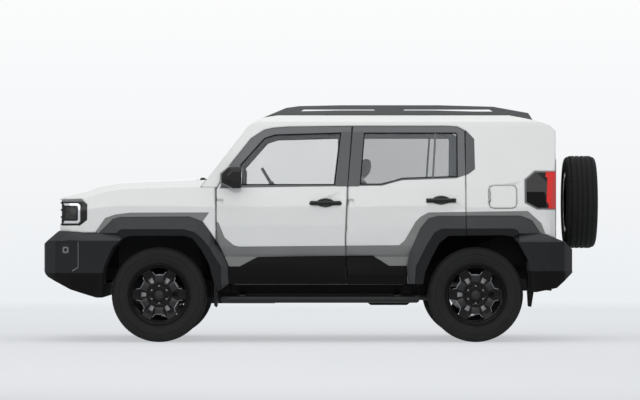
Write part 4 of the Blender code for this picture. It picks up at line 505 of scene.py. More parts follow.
def copied(piece):
    """A copy with its own mesh, at the origin."""
    only(piece)
    bpy.ops.object.duplicate(linked=False)
    twin = bpy.context.object
    twin.location = (0, 0, 0)
    settle(twin)
    return twin


def whole(piece, change, **settings):
    """Runs a mesh or transform operator on all of a piece."""
    only(piece)
    bpy.ops.object.mode_set(mode="EDIT")
    bpy.ops.mesh.select_all(action="SELECT")
    change(**settings)
    bpy.ops.object.mode_set(mode="OBJECT")


def flipped(piece):
    """The piece turned over to the car's other side, with its faces outwards."""
    whole(piece, bpy.ops.transform.resize, value=(1, -1, 1), center_override=(0, 0, 0))
    whole(piece, bpy.ops.mesh.flip_normals)
    return piece


def mirrored(piece):
    """The same piece on the car's other side."""
    return flipped(copied(piece))


def ringed(piece, count):
    """The piece repeated evenly round the wheel's axle, all as one."""
    ring = [piece]
    for index in range(1, count):
        twin = copied(piece)
        whole(twin, bpy.ops.transform.rotate, value=2 * math.pi * index / count, orient_axis="Y",
              center_override=(0, 0, 0))
        ring.append(twin)
    return joined(ring)


def surface_of(node):
    """A loose copy of a CAD node's own surface."""
    only(NODES[node])
    bpy.ops.object.duplicate(linked=False)
    surface = bpy.context.object
    surface.parent = None
    edit(surface, "VERT")
    bpy.ops.mesh.select_all(action="SELECT")
    bpy.ops.mesh.remove_doubles(threshold=MERGE)
    bpy.ops.object.mode_set(mode="OBJECT")
    return surface


def skin_of(node, outline, depth, proud, axis="Y"):
    """A thin cover over part of a CAD node: its own surface inside an outline, lifted a little."""
    cover = surface_of(node)
    modifier(cover, "DISPLACE", strength=proud, mid_level=0.0)
    combine(cover, "INTERSECT", slab(axis, outline, *depth))
    if not cover.data.polygons:
        raise RuntimeError(f"nothing of {node} lies inside the outline that starts at {outline[0]}")
    return cover


def on_body(piece, name, body, finish, angle=None):
    """Smooths a piece, names it, gives it its finish and lets it ride on its body."""
    if angle:
        smooth(piece, angle)
    painted(piece, name, finish)
    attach(piece, body)
    return piece


def both_sides(piece, name, body, finish):
    """Names a left piece, makes its right twin and lets each ride on its own side's body."""
    twin = mirrored(piece)
    for made, side in ((piece, "left"), (twin, "right")):
        painted(made, f"{side}_{name}", finish)
        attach(made, body.format(side=side))
    return piece, twin


# --- Wheels --------------------------------------------------------------------------------

def spun_points(outline, degrees):
    """An outline in (across, out) turned round the wheel's axle, as (x, z)."""
    angle = math.radians(degrees)
    return [(out * math.cos(angle) + across * math.sin(angle), out * math.sin(angle) - across * math.cos(angle))
            for across, out in outline]


def tyre_shape(tread_depth):
    """A tyre round the origin: a moulded carcass with four grooves, and lugs round both shoulders."""
    floor = TYRE_RADIUS - tread_depth
    half = [
        (0.2289, 0.1020), (0.2506, 0.1065), (0.2560, 0.1150), (0.2620, 0.1180), (0.2665, 0.1165),
        (0.2900, 0.1270), (0.3070, 0.1315), (0.3240, 0.1318), (0.3265, 0.1290), (0.3290, 0.1318),
        (0.3480, 0.1300), (0.3640, 0.1240), (0.3745, 0.1150), (floor, 0.1030), (floor, 0.0830),
        (TYRE_RADIUS - 0.0008, 0.0820), (TYRE_RADIUS, 0.0700), (TYRE_RADIUS, 0.0470), (floor, 0.0460),
        (floor, 0.0360), (TYRE_RADIUS, 0.0350), (TYRE_RADIUS, 0.0070), (floor, 0.0060),
    ]
    carcass = turned([(r, -w) for r, w in half] + [(r, w) for r, w in reversed(half)], (0, 0, 0), ROUND)
    lug = block((-0.0072, -0.1235, floor - 0.012), (0.0072, -0.0850, TYRE_RADIUS - 0.0006))
    edit(lug, "VERT")
    pick(lug, "vertices", lambda co: co.y < -0.12 and co.z > floor)
    bpy.ops.transform.translate(value=(0, 0.0165, 0))
    pick(lug, "vertices", lambda co: co.y < -0.12)
    bpy.ops.transform.translate(value=(0, 0.004, -0.010))
    bpy.ops.object.mode_set(mode="OBJECT")
    row = ringed(lug, LUGS)
    other = mirrored(row)
    return joined([carcass, row, other])


def rim_shape():
    """The rim's barrel and lips, and its face with six large and six small openings."""
    barrel = turned([(r, -w) for r, w in [
        (0.2185, -0.1165), (0.2300, -0.1180), (0.2480, -0.1185), (0.2500, -0.1165), (0.2500, -0.1085),
        (0.2285, -0.1035), (0.2285, 0.1030), (0.2500, 0.1085), (0.2500, 0.1170), (0.2480, 0.1185),
        (0.2425, 0.1178), (0.2385, 0.1120), (0.2340, 0.1000), (0.2240, 0.0925), (0.2190, 0.0800),
    ]], (0, 0, 0), ROUND)
    face = turned([(r, -w) for r, w in [
        (0.0200, 0.0500), (0.0200, 0.0815), (0.0560, 0.0840), (0.0600, 0.0790), (0.0820, 0.0780), (0.0880, 0.0850),
        (0.1500, 0.0760), (0.1900, 0.0790), (0.2200, 0.0900), (0.2230, 0.0860), (0.2215, 0.0560),
        (0.1500, 0.0430), (0.0760, 0.0450),
    ]], (0, 0, 0), ROUND)
    for index in range(SPOKES):
        angle = 30 + 60 * index
        large = [(-0.034, 0.1600), (-0.0745, 0.2020), (-0.0640, 0.2070), (-0.0330, 0.2142), (0.0, 0.2165),
                 (0.0330, 0.2142), (0.0640, 0.2070), (0.0745, 0.2020), (0.034, 0.1600)]
        combine(face, "DIFFERENCE", slab("Y", spun_points(large, angle), -0.13, -0.02))
        small = [(-0.0150, 0.1060), (-0.0200, 0.1493), (0.0200, 0.1493), (0.0150, 0.1060)]
        combine(face, "DIFFERENCE", slab("Y", spun_points(small, angle + 30), -0.13, -0.02))
    bevelled(face, 0.0022, 2, 40)
    return barrel, face


def hub_flats():
    """Six sloping flats between the openings, which catch the light low on the wheel."""
    flats = []
    for index in range(SPOKES):
        outline = [(-0.029, 0.0760), (-0.0345, 0.1560), (0.0345, 0.1560), (0.029, 0.0760)]
        flat = slab("Y", spun_points(outline, 30 + 60 * index), -0.0890, -0.0620)
        edit(flat, "VERT")
        pick(flat, "vertices", lambda co: co.y < -0.08 and math.hypot(co.x, co.z) < 0.12)
        bpy.ops.transform.translate(value=(0, 0.0105, 0))
        bpy.ops.object.mode_set(mode="OBJECT")
        flats.append(flat)
    piece = joined(flats)
    bevelled(piece, 0.0015, 2, 30)
    return piece


def bright_edges():
    """Painted highlight: a bright metal line round the inner end of each large opening."""
    lines = []
    for index in range(SPOKES):
        outline = [(-0.0335, 0.1575), (-0.0560, 0.1830), (-0.0535, 0.1850), (-0.0320, 0.1602), (0.0320, 0.1602),
                   (0.0535, 0.1850), (0.0560, 0.1830), (0.0335, 0.1575)]
        lines.append(slab("Y", spun_points(outline, 30 + 60 * index), -0.0790, -0.0720))
    return joined(lines)


def wheel_nuts():
    """Six chamfered nuts; the plain cap over the hub with its ring is made by hub_cap."""
    nut = turned([(0.0, 0.0700), (0.0105, 0.0700), (0.0105, 0.0920), (0.0080, 0.0965), (0.0, 0.0972)],
                 (0, 0, 0), 6)
    only(nut)
    nut.location = (0, 0, 0.070)
    settle(nut)
    whole(nut, bpy.ops.transform.resize, value=(1, -1, 1), center_override=(0, 0, 0))
    whole(nut, bpy.ops.mesh.normals_make_consistent, inside=False)
    return ringed(nut, SPOKES)


def hub_cap():
    return turned([(r, -w) for r, w in [
        (0.0005, 0.0500), (0.0360, 0.0500), (0.0370, 0.0840), (0.0345, 0.0868), (0.0300, 0.0868), (0.0285, 0.0850),
        (0.0160, 0.0866), (0.0005, 0.0872),
    ]], (0, 0, 0), 48)


def brake_disc():
    """Turned disc and its bell."""
    return turned([(r, -w) for r, w in [
        (0.0200, -0.0360), (0.0700, -0.0360), (0.0720, -0.0280), (0.1640, -0.0275), (0.1650, -0.0205),
        (0.1570, -0.0190), (0.1570, -0.0160), (0.1650, -0.0145), (0.1640, -0.0075), (0.0760, -0.0075),
        (0.0740, 0.0440), (0.0200, 0.0440),
    ]], (0, 0, 0), 72)


def facing(piece, place, turn):
    """Puts a wheel's piece in its place: the left side, the right side or the tail."""
    if turn == "right":
        flipped(piece)
    elif turn == "tail":
        for point in piece.data.vertices:
            x, y, z = point.co
            point.co = (-y, x, z)
    piece.location = place
    settle(piece)
    return piece


def build_wheels(finishes, tread_depth):
    tyre = tyre_shape(tread_depth)
    barrel, face = rim_shape()
    parts = [
        (tyre, "tread_tyre", "tyre", 40), (barrel, "rim_barrel", "wheel", 35), (face, "rim_face", "wheel", 30),
        (hub_flats(), "hub_flats", "flats", 30), (bright_edges(), "bright_edges", "machined", 30),
        (wheel_nuts(), "wheel_nuts", "nuts", 20), (hub_cap(), "hub_cap", "flats", 35),
        (brake_disc(), "brake_disc", "steel", 35),
    ]
    for piece, _, _, angle in parts:
        smooth(piece, angle)
    places = [(f"{end}_{side}", (x, y, AXLE_Z), side, f"{end}_{side}_wheel")
              for end, x in zip(("front", "rear"), AXLES_X) for side, y in (("left", -WHEEL_Y), ("right", WHEEL_Y))]
    places.append(("spare", SPARE, "tail", "tailgate"))
    for prefix, place, turn, body in places:
        for piece, name, finish, _ in parts:
            if prefix == "spare" and name == "brake_disc":
                continue
            made = facing(copied(piece), place, turn)
            painted(made, f"{prefix}_{name}", finishes[finish])
            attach(made, body)
            if name == "tread_tyre":
                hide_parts(f"{prefix}_tyre")
            elif name == "rim_face":
                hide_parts(f"{prefix}_rim")
    for piece, *_ in parts:
        bpy.data.objects.remove(piece)


# --- Cladding and window frames ------------------------------------------------------------

# Outlines on the car's side, as (x, z)
# The first three outlines hold the white faces above the flares and the doors' cladding that turn down into shade;
# they get grey painted shade.
FRONT_SHADE_OUTLINE = [
    (-1.8560, 0.8900), (-1.7712, 1.0117), (-1.6898, 1.0402), (-1.5677, 1.0556), (-0.9247, 1.0573), (-0.9500, 1.0200),
    (-0.9785, 0.9840), (-1.0875, 1.0230), (-1.6490, 1.0180), (-1.7086, 1.0010), (-1.8245, 0.8860),
]
DOOR_SHADE_OUTLINE = [
    (-0.9100, 0.9791), (-0.8499, 0.9791), (-0.7978, 0.8530), (-0.7237, 0.7903), (-0.6781, 0.7789),
    (0.6233, 0.7903), (0.6689, 0.8302), (0.7592, 0.9856), (0.8000, 1.0240), (0.8634, 1.0573), (1.1800, 1.0620),
    (1.1800, 1.0290), (0.9415, 1.0290), (0.8630, 1.0097), (0.7980, 0.9320), (0.7080, 0.7260), (0.6840, 0.6210),
    (0.5411, 0.6210), (0.4076, 0.7050), (-0.5300, 0.6945), (-0.6749, 0.6160), (-0.9100, 0.6160),
]
QUARTER_SHADE_OUTLINE = [
    (1.1660, 1.0620), (1.6716, 1.0687), (1.7800, 0.9700), (1.8120, 0.8880), (1.7770, 0.8860), (1.7050, 0.9920),
    (1.6138, 1.0290), (1.1660, 1.0290),
]
DOOR_CLADDING = [
    (-0.9000, 0.4600), (0.6960, 0.4600), (0.6830, 0.6218), (0.5411, 0.6218), (0.4076, 0.7057), (-0.5300, 0.6951),
    (-0.6749, 0.6169), (-0.9000, 0.6169),
]
DOOR_FLARE = [
    (0.7000, 0.4600), (0.6800, 0.6290), (0.7060, 0.7280), (0.7960, 0.9345), (0.8620, 1.0127), (0.9415, 1.0320),
    (1.2000, 1.0320), (1.2000, 0.4600),
]
FRONT_ARCH_BAND = [
    (-0.8225, 0.4600), (-0.8255, 0.6175), (-0.8825, 0.7075), (-0.9225, 0.7775), (-0.9925, 0.8575),
    (-1.0425, 0.8975), (-1.1325, 0.9210), (-1.6325, 0.9210), (-1.6655, 0.9060), (-1.6760, 0.8850),
    (-1.7500, 0.8000), (-1.7500, 0.2500), (-0.8225, 0.2500),
]
REAR_ARCH_BAND = [
    (0.7475, 0.4600), (0.7575, 0.6175), (0.8475, 0.7960), (0.9075, 0.8920), (0.9675, 0.9260), (1.5475, 0.9260),
    (1.5825, 0.9160), (1.6015, 0.8860), (1.6300, 0.8300), (1.6300, 0.4600),
]
SIDE_WINDOWS = [
    (-0.8385, 1.2526), (-0.7740, 1.4186), (-0.5860, 1.6610), (-0.4771, 1.7300), (-0.4022, 1.7500),
    (-0.2817, 1.7600), (0.2457, 1.7700), (1.0278, 1.7760), (1.1035, 1.7600), (1.1784, 1.7230), (1.2386, 1.6587),
    (1.2435, 1.4105), (1.1939, 1.3730), (1.0880, 1.3356), (0.6518, 1.3201), (0.5615, 1.2974), (0.4858, 1.2754),
    (-0.6578, 1.2599),
]
QUARTER_GARNISH = [
    (1.1665, 1.3600), (1.1939, 1.3730), (1.2435, 1.4105), (1.2386, 1.6587), (1.1784, 1.7230), (1.1665, 1.7330),
]
B_PILLAR = [(0.1080, 1.2690), (0.2970, 1.2690), (0.3320, 1.7180), (0.1570, 1.7180)]
FRONT_PANE = [
    (-0.6650, 1.2780), (0.1040, 1.2780), (0.1550, 1.7116), (-0.3880, 1.6966), (-0.4770, 1.6670), (-0.6730, 1.4480),
]
REAR_PANE = [
    (0.3010, 1.2820), (0.4780, 1.2820), (0.5600, 1.3020), (0.6520, 1.3300), (1.1035, 1.3450), (1.1035, 1.6966),
    (1.0880, 1.7116), (0.3360, 1.7116),
]
PANE_BAR = [(0.8920, 1.3380), (0.9080, 1.3380), (0.9308, 1.7080), (0.9148, 1.7080)]
WHEELHOUSE = [
    (0.7950, 0.4100), (0.8150, 0.5760), (0.8680, 0.6950), (0.9360, 0.8200), (1.0160, 0.8870), (1.4860, 0.8910),
    (1.5600, 0.8750), (1.6120, 0.8130), (1.6820, 0.6930), (1.7080, 0.5750), (1.7200, 0.4100),
]


def shrunk(outline, step):
    """The outline drawn in by a step all round; it runs either way."""
    turn = sum(a[0] * b[1] - b[0] * a[1] for a, b in zip(outline, outline[1:] + outline[:1]))
    side = 1.0 if turn > 0 else -1.0
    moved = []
    for before, here, after in zip(outline[-1:] + outline[:-1], outline, outline[1:] + outline[:1]):
        first = (Vector(here) - Vector(before)).normalized()
        second = (Vector(after) - Vector(here)).normalized()
        inward = Vector((-first.y - second.y, first.x + second.x)).normalized() * side
        reach = step / max(0.4, inward.dot(Vector((-first.y, first.x)) * side))
        moved.append(tuple(Vector(here) + inward * reach))
    return moved


def cover(name, node, body, outline, proud, finish, depth=(-1.0, -0.60), corner=0.0008):
    """A cover on a left node and its twin on the right."""
    piece = skin_of(f"left_{node}", outline, depth, proud)
    if corner:
        bevelled(piece, corner, 1, 35)
    smooth(piece, 25)
    both_sides(piece, name, body, finish)


def build_cladding(finishes, lift):
    outer = (-1.0, -0.80)
    front_door, rear_door = "{side}_front_door", "{side}_rear_door"
    facet, lower, band = finishes["facet"], finishes["lower"], finishes["band"]
    # Painted shade: grey covers on the white faces above the flares and the doors' cladding, where these faces turn
    # down.
    cover("fender_facet", "fender", "frame", FRONT_SHADE_OUTLINE, lift, facet)
    cover("pillar_facet", "body_side", "frame", FRONT_SHADE_OUTLINE, lift, facet)
    cover("quarter_facet", "body_side", "frame", QUARTER_SHADE_OUTLINE, lift, facet)
    cover("front_door_facet", "front_door", front_door, DOOR_SHADE_OUTLINE, lift, facet)
    cover("front_door_cladding", "front_door", front_door, DOOR_CLADDING, lift * 2.2, lower)
    cover("rear_door_facet", "rear_door", rear_door, DOOR_SHADE_OUTLINE, lift, facet)
    cover("rear_door_cladding", "rear_door", rear_door, DOOR_CLADDING, lift * 2.2, lower)
    cover("rear_door_flare", "rear_door", rear_door, DOOR_FLARE, lift * 0.6, finishes["cladding"], outer)
    cover("rear_door_arch_band", "rear_door", rear_door, REAR_ARCH_BAND, lift * 1.4, band, outer)
    cover("quarter_arch_band", "rear_flare", "frame", REAR_ARCH_BAND, lift, band, outer)
    cover("front_arch_band", "front_flare", "frame", FRONT_ARCH_BAND, lift, band, outer)
    cover("wheelhouse_lining", "body_side", "frame", WHEELHOUSE, lift * 0.5, lower, (-0.86, -0.50), 0)
    cover("sill_cover", "body_side", "frame", [(-0.90, 0.36), (0.83, 0.36), (0.83, 0.4725), (-0.90, 0.4725)],
          lift, lower, (-1.0, -0.69))
    # Painted highlight: a thin grey line along the sill.
    strip = slab("Y", [(-0.72, 0.4700), (0.66, 0.4700), (0.66, 0.4735), (-0.72, 0.4735)], -0.8560, -0.8400)
    bevelled(strip, 0.001, 1)
    both_sides(strip, "sill_line", "frame", facet)


def pane_seal(node, pane, body, finish):
    """The rubber round a side window."""
    seal = skin_of(f"left_{node}", [(-0.9, 1.2), (1.3, 1.2), (1.3, 1.8), (-0.9, 1.8)], (-1.0, -0.6), 0.0022)
    combine(seal, "DIFFERENCE", slab("Y", shrunk(pane, 0.011), -1.1, -0.5))
    smooth(seal, 25)
    both_sides(seal, f"{node}_seal", body, finish)


def glass_band(node, name, body, outline, inner, depth, finish):
    """The dark band round the edge of the windscreen or the rear pane."""
    band = skin_of(node, outline, depth, 0.0022, "X")
    combine(band, "DIFFERENCE", slab("X", inner, depth[0] - 0.1, depth[1] + 0.2))
    on_body(band, name, body, finish, 25)


def build_windows(finishes, lift):
    pillar = finishes["pillar"]
    for end, pane in (("front", FRONT_PANE), ("rear", REAR_PANE)):
        door, body = f"{end}_door", "{side}_" + f"{end}_door"
        cover(f"{end}_window_frame", door, body, SIDE_WINDOWS, lift, finishes["frame"], (-1.0, -0.55))
        cover(f"{end}_pillar_trim", door, body, B_PILLAR, lift * 1.7, pillar)
        pane_seal(f"{end}_glass", pane, body, finishes["seal"])
    cover("pillar_post", "body_side", "frame", [(0.10, 1.262), (0.31, 1.262), (0.36, 1.76), (0.12, 1.76)], lift * 0.4,
          pillar, corner=0)
    cover("quarter_garnish", "body_side", "frame", QUARTER_GARNISH, lift * 1.3, pillar, (-1.0, -0.70))
    cover("pane_bar", "rear_glass", "{side}_rear_door", PANE_BAR, 0.003, finishes["frame"])
    glass_band("windscreen", "windscreen_band", "frame", [(-0.9, 1.2), (0.9, 1.2), (0.9, 1.85), (-0.9, 1.85)],
               [(-0.735, 1.325), (0.735, 1.325), (0.640, 1.735), (-0.640, 1.735)], (-1.5, 0.0), finishes["gloss"])
    glass_band("tailgate_glass", "tailgate_glass_band", "tailgate",
               [(-0.7, 1.2), (0.7, 1.2), (0.7, 1.85), (-0.7, 1.85)],
               [(-0.535, 1.312), (0.535, 1.312), (0.497, 1.678), (-0.497, 1.678)], (1.5, 2.5), finishes["gloss"])


# --- Lamps, grille and bumpers ---------------------------------------------------------------

HEAD_LAMP = [
    (-2.0943, 1.1640), (-1.9641, 1.1670), (-1.9180, 1.1210), (-1.9180, 0.9980), (-1.9763, 0.9510), (-2.1130, 0.9510),
    (-2.1310, 0.9790), (-2.1190, 1.1400),
]
TAIL_LAMP = [
    (1.6490, 1.3250), (1.7310, 1.3955), (1.9400, 1.3915), (1.9400, 1.0820), (1.7470, 1.0820), (1.6490, 1.1355),
]


def rounded(outline, radius, steps=3):
    """The outline with its corners rounded."""
    points = []
    for before, here, after in zip(outline[-1:] + outline[:-1], outline, outline[1:] + outline[:1]):
        here, before, after = Vector(here), Vector(before), Vector(after)
        reach = min(radius, (before - here).length * 0.45, (after - here).length * 0.45)
        start = here + (before - here).normalized() * reach
        end = here + (after - here).normalized() * reach
        for step in range(steps + 1):
            share = step / steps
            first, second = start.lerp(here, share), here.lerp(end, share)
            points.append(tuple(first.lerp(second, share)))
    return points


def lamp_piece(node, name, outline, depth, proud, finish):
    """One piece of a lamp and its twin on the right."""
    piece = skin_of(f"left_{node}", outline, depth, proud)
    smooth(piece, 30)
    return both_sides(piece, name, "frame", finish)


def build_head_lamps(finishes):
    low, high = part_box("left_head_lamp")
    outer = (low[1] - 0.1, low[1] + 0.22)
    made = lamp_piece("head_lamp", "lamp_housing", HEAD_LAMP, (low[1] - 0.1, high[1] + 0.1), 0.0010, finishes["gloss"])
    for name, proud, finish, outline in (
        ("lamp_frame", 0.0032, "silver", [
            (-2.1130, 1.1310), (-1.9900, 1.1310), (-1.9740, 1.1150), (-1.9740, 0.9860), (-1.9900, 0.9680),
            (-2.1130, 0.9680), (-2.1050, 0.9880), (-2.0020, 0.9880), (-1.9920, 0.9980), (-1.9920, 1.1040),
            (-2.0020, 1.1130), (-2.1020, 1.1130)]),
        ("lamp_reflector", 0.0024, "lens", [
            (-2.0950, 1.0980), (-2.0060, 1.0980), (-2.0060, 1.0050), (-2.0950, 1.0050)]),
        ("lamp_brow", 0.0026, "frame", [
            (-2.1200, 1.1700), (-1.9300, 1.1700), (-1.9500, 1.1440), (-2.1200, 1.1440)]),
    ):
        lamp_piece("head_lamp", name, outline, outer, proud, finishes[finish])
    for piece, side in zip(made, ("left", "right")):
        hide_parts(f"{side}_head_lamp")


def build_tail_lamps(finishes):
    low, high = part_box("left_tail_lamp")
    depth = (low[1] - 0.1, high[1] + 0.1)
    made = lamp_piece("tail_lamp", "tail_housing", TAIL_LAMP, depth, 0.0010, finishes["gloss"])
    lamp_piece("tail_lamp", "tail_red", [
        (1.9500, 1.3900), (1.8220, 1.3900), (1.8170, 1.3500), (1.8320, 1.3400), (1.8240, 1.1450), (1.8420, 1.1200),
        (1.8380, 1.0880), (1.9500, 1.0880),
    ], (low[1] - 0.1, low[1] + 0.085), 0.0040, finishes["red"])
    rim = skin_of("left_tail_lamp", TAIL_LAMP, depth, 0.0030)
    combine(rim, "DIFFERENCE", slab("Y", shrunk(TAIL_LAMP, 0.012), depth[0] - 0.1, depth[1] + 0.1))
    smooth(rim, 30)
    both_sides(rim, "tail_rim", "frame", finishes["frame"])
    lamp_piece("tail_lamp", "tail_lower", [
        (1.6490, 1.1355), (1.7470, 1.0820), (1.8250, 1.0820), (1.8100, 1.2250), (1.6490, 1.2250),
    ], depth, 0.0022, finishes["lower"])
    for piece, side in zip(made, ("left", "right")):
        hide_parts(f"{side}_tail_lamp")


def build_bumpers(finishes, lift):
    for node, name, proud, finish, (front, low), (back, high) in (
        ("front_bumper", "valance", lift, "lower", (-2.40, 0.20), (-1.70, 0.5640)),
        ("rear_bumper", "valance", lift, "lower", (1.60, 0.20), (2.20, 0.5800)),
        ("front_bumper", "ledge", lift * 0.8, "cladding", (-2.40, 0.8240), (-1.60, 0.95)),
        ("rear_bumper", "ledge", lift * 0.8, "cladding", (1.60, 0.8140), (2.20, 0.95)),
    ):
        outline = [(front, low), (back, low), (back, high), (front, high)]
        piece = skin_of(node, outline, (-1.2, 1.2), proud)
        bevelled(piece, 0.0008, 1, 35)
        on_body(piece, f"{node}_{name}", "frame", finishes[finish], 25)
    for name, finish, outline in (
        ("bumper_hook_recess", "gloss", [(-2.1350, 0.7990), (-2.0520, 0.7990), (-2.0520, 0.7020), (-2.1350, 0.7020)]),
        ("bumper_top_slot", "gloss", [(-2.0800, 0.8340), (-1.9890, 0.8300), (-1.9890, 0.8180), (-2.0700, 0.8180)]),
        ("bumper_panel_line", "facet", [
            (-1.9915, 0.8180), (-1.9865, 0.8180), (-1.9865, 0.6090), (-2.0300, 0.5790), (-2.0420, 0.5790),
            (-2.0380, 0.5840), (-1.9915, 0.6130)]),
    ):
        piece = skin_of("front_bumper", outline, (-1.2, -0.5), 0.0022)
        smooth(piece, 25)
        both_sides(piece, name, "frame", finishes[finish])


def build_tow_eye(finishes):
    """A plain tow eye in each recess of the front bumper."""
    eye = skin_of("front_bumper", rounded([(-2.1180, 0.7780), (-2.0680, 0.7780), (-2.0680, 0.7260),
                                           (-2.1180, 0.7260)], 0.018, 4), (-1.2, -0.5), 0.0040)
    combine(eye, "DIFFERENCE", slab("Y", rounded([(-2.1060, 0.7660), (-2.0800, 0.7660), (-2.0800, 0.7380),
                                                  (-2.1060, 0.7380)], 0.010, 4), -1.3, -0.4))
    smooth(eye, 40)
    both_sides(eye, "tow_eye", "frame", finishes["nuts"])


def build_grille(finishes):
    """A set-back panel with bars and ribs before it, whose ends show as short teeth from the side."""
    low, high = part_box("grille")
    panel = skin_of("grille", [(low[1] - 0.1, low[2] - 0.1), (high[1] + 0.1, low[2] - 0.1),
                               (high[1] + 0.1, high[2] + 0.1), (low[1] - 0.1, high[2] + 0.1)],
                    (-2.1400, high[0] + 0.1), 0.0002, "X")
    bevelled(panel, 0.002, 1, 35)
    on_body(panel, "grille_panel", "frame", finishes["gloss"], 40)
    bars = []
    for row in range(4):
        z = low[2] + 0.055 + 0.0585 * row
        bar = slab("X", [(-0.600, z - 0.010), (0.600, z - 0.010), (0.600, z + 0.010), (-0.600, z + 0.010)], -2.1560,
                   -2.1280)
        edit(bar, "VERT")
        pick(bar, "vertices", lambda co: co.x < -2.15)
        bpy.ops.transform.resize(value=(1, 1, 0.6), center_override=(-2.156, 0, z))
        bpy.ops.object.mode_set(mode="OBJECT")
        bars.append(bar)
    ribs = []
    for step in range(-7, 8):
        y = 0.078 * step
        ribs.append(block((-2.1500, y - 0.004, low[2] + 0.035), (-2.1280, y + 0.004, high[2] - 0.035)))
    mesh = joined(bars + ribs)
    bevelled(mesh, 0.0015, 1)
    on_body(mesh, "grille_bars", "frame", finishes["lower"], 40)
    for piece in (panel, mesh):
        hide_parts("grille")


def hollowed_block(low, high, axis, inset, sink):
    """A box whose two ends across an axis have a sunk panel each."""
    core = block(low, high)
    edit(core)
    pick(core, "polygons", lambda centre, normal: abs(normal[axis]) > 0.9)
    bpy.ops.mesh.inset(thickness=inset, use_individual=True)
    bpy.ops.mesh.extrude_region_shrink_fatten(TRANSFORM_OT_shrink_fatten={"value": -sink})
    bpy.ops.object.mode_set(mode="OBJECT")
    bevelled(core, 0.006, 2)
    return core


def build_inner_boxes(finishes):
    """Radiator pack, clutch housing and cabin tunnel, which stand between the two front arches."""
    for name, low, high, finish in (
        ("radiator", (-1.8200, -0.3500, 0.5860), (-1.7020, 0.3500, 1.0500), "chassis"),
        ("clutch_housing", (-1.0900, -0.2600, 0.5200), (-0.9660, 0.2600, 0.8400), "cast"),
        ("cabin_tunnel", (-0.9840, -0.1200, 0.4760), (-0.3400, 0.1200, 0.7400), "cabin"),
    ):
        on_body(hollowed_block(low, high, 0, 0.025, 0.008), name, "frame", finishes[finish], 40)


# --- Handles, mirrors, steps and small trim --------------------------------------------------

GRIPS = {"front": (-0.1075, 0.155, 1.133), "rear": (0.8375, 1.094, 1.154)}


def build_handles(finishes):
    for end, (low, high, z) in GRIPS.items():
        body = "{side}_" + f"{end}_door"
        outline = rounded([(low - 0.002, z - 0.0175), (high + 0.002, z - 0.0175), (high + 0.002, z + 0.0175),
                           (low - 0.002, z + 0.0175)], 0.016, 4)
        grip = skin_of(f"left_{end}_door", outline, (-1.0, -0.8850), 0.0016)
        bevelled(grip, 0.003, 2, 30)
        smooth(grip, 40)
        both_sides(grip, f"{end}_grip", body, finishes["gloss"])
        middle = (low + high) / 2
        bowl = [(middle + 0.074 * math.cos(a), z + 0.040 * math.sin(a)) for a in
                (math.radians(15 * step) for step in range(24))]
        dish = skin_of(f"left_{end}_door", bowl, (-0.8840, -0.8350), 0.0010)
        smooth(dish, 40)
        both_sides(dish, f"{end}_grip_bowl", body, finishes["pillar"])


def build_mirrors(finishes):
    low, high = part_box("left_mirror")
    shell = skin_of("left_mirror", [(-0.90, 1.20), (-0.60, 1.20), (-0.60, 1.50), (-0.90, 1.50)],
                    (low[1] - 0.1, high[1] + 0.1), 0.0003)
    modifier(shell, "REMESH", mode="VOXEL", voxel_size=0.006, use_smooth_shade=True)
    modifier(shell, "SMOOTH", factor=0.5, iterations=14)
    made = both_sides(shell, "mirror_shell", "{side}_front_door", finishes["gloss"])
    face = rounded([(-1.018, 1.2950), (-0.945, 1.2800), (-0.940, 1.4020), (-1.014, 1.3850)], 0.02, 3)
    glass = skin_of("left_mirror", face, (-0.6700, -0.6000), 0.0010, "X")
    smooth(glass, 30)
    both_sides(glass, "mirror_glass", "{side}_front_door", finishes["mirror"])
    for piece, side in zip(made, ("left", "right")):
        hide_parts(f"{side}_mirror")


def build_steps(finishes):
    low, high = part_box("left_side_step")
    for row in range(3):
        y = low[1] + 0.030 + 0.030 * row
        tread = block((low[0] + 0.13, y, high[2] - 0.0010), (high[0] - 0.13, y + 0.016, high[2] + 0.0022))
        edit(tread)
        pick(tread, "polygons", lambda centre, normal: normal.z > 0.9)
        bpy.ops.mesh.inset(thickness=0.003)
        bpy.ops.transform.translate(value=(0, 0, 0.0008))
        bpy.ops.object.mode_set(mode="OBJECT")
        bevelled(tread, 0.0008, 1)
        both_sides(tread, f"step_tread_{row + 1}", "frame", finishes["seal"])


def build_tail(finishes):
    grip = skin_of("tailgate", rounded([(0.56, 1.120), (0.56, 1.060), (0.72, 1.060), (0.72, 1.120)], 0.02),
                   (1.5, 2.3), 0.0060, "X")
    bevelled(grip, 0.004, 2, 30)
    on_body(grip, "tailgate_grip", "tailgate", finishes["gloss"], 30)


def build_front(finishes):
    """The blank plate on the front bumper."""
    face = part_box("front_bumper")[0][0]
    plate = slab("X", rounded([(-0.255, 0.640), (0.255, 0.640), (0.255, 0.750), (-0.255, 0.750)], 0.012),
                 face + 0.002, face + 0.030)
    bevelled(plate, 0.002, 1)
    on_body(plate, "front_plate", "frame", finishes["white"])


def build_wipers(finishes):
    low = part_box("windscreen")[0]
    x, z = low[0] + 0.024, low[2] + 0.026
    for side, y in (("left", -0.42), ("right", 0.28)):
        outline = [(-0.006, -0.006), (0.006, -0.006), (0.006, 0.004), (0.002, 0.010), (-0.006, 0.004)]
        arm = slab("Y", [(x + a, z + b) for a, b in outline], y - 0.42, y)
        edit(arm, "VERT")
        pick(arm, "vertices", lambda co: co.y < y - 0.3)
        bpy.ops.transform.resize(value=(0.5, 1.0, 0.6), center_override=(x, y - 0.42, z))
        bpy.ops.object.mode_set(mode="OBJECT")
        bevelled(arm, 0.0015, 1)
        on_body(arm, f"{side}_wiper", "frame", finishes["seal"], 40)


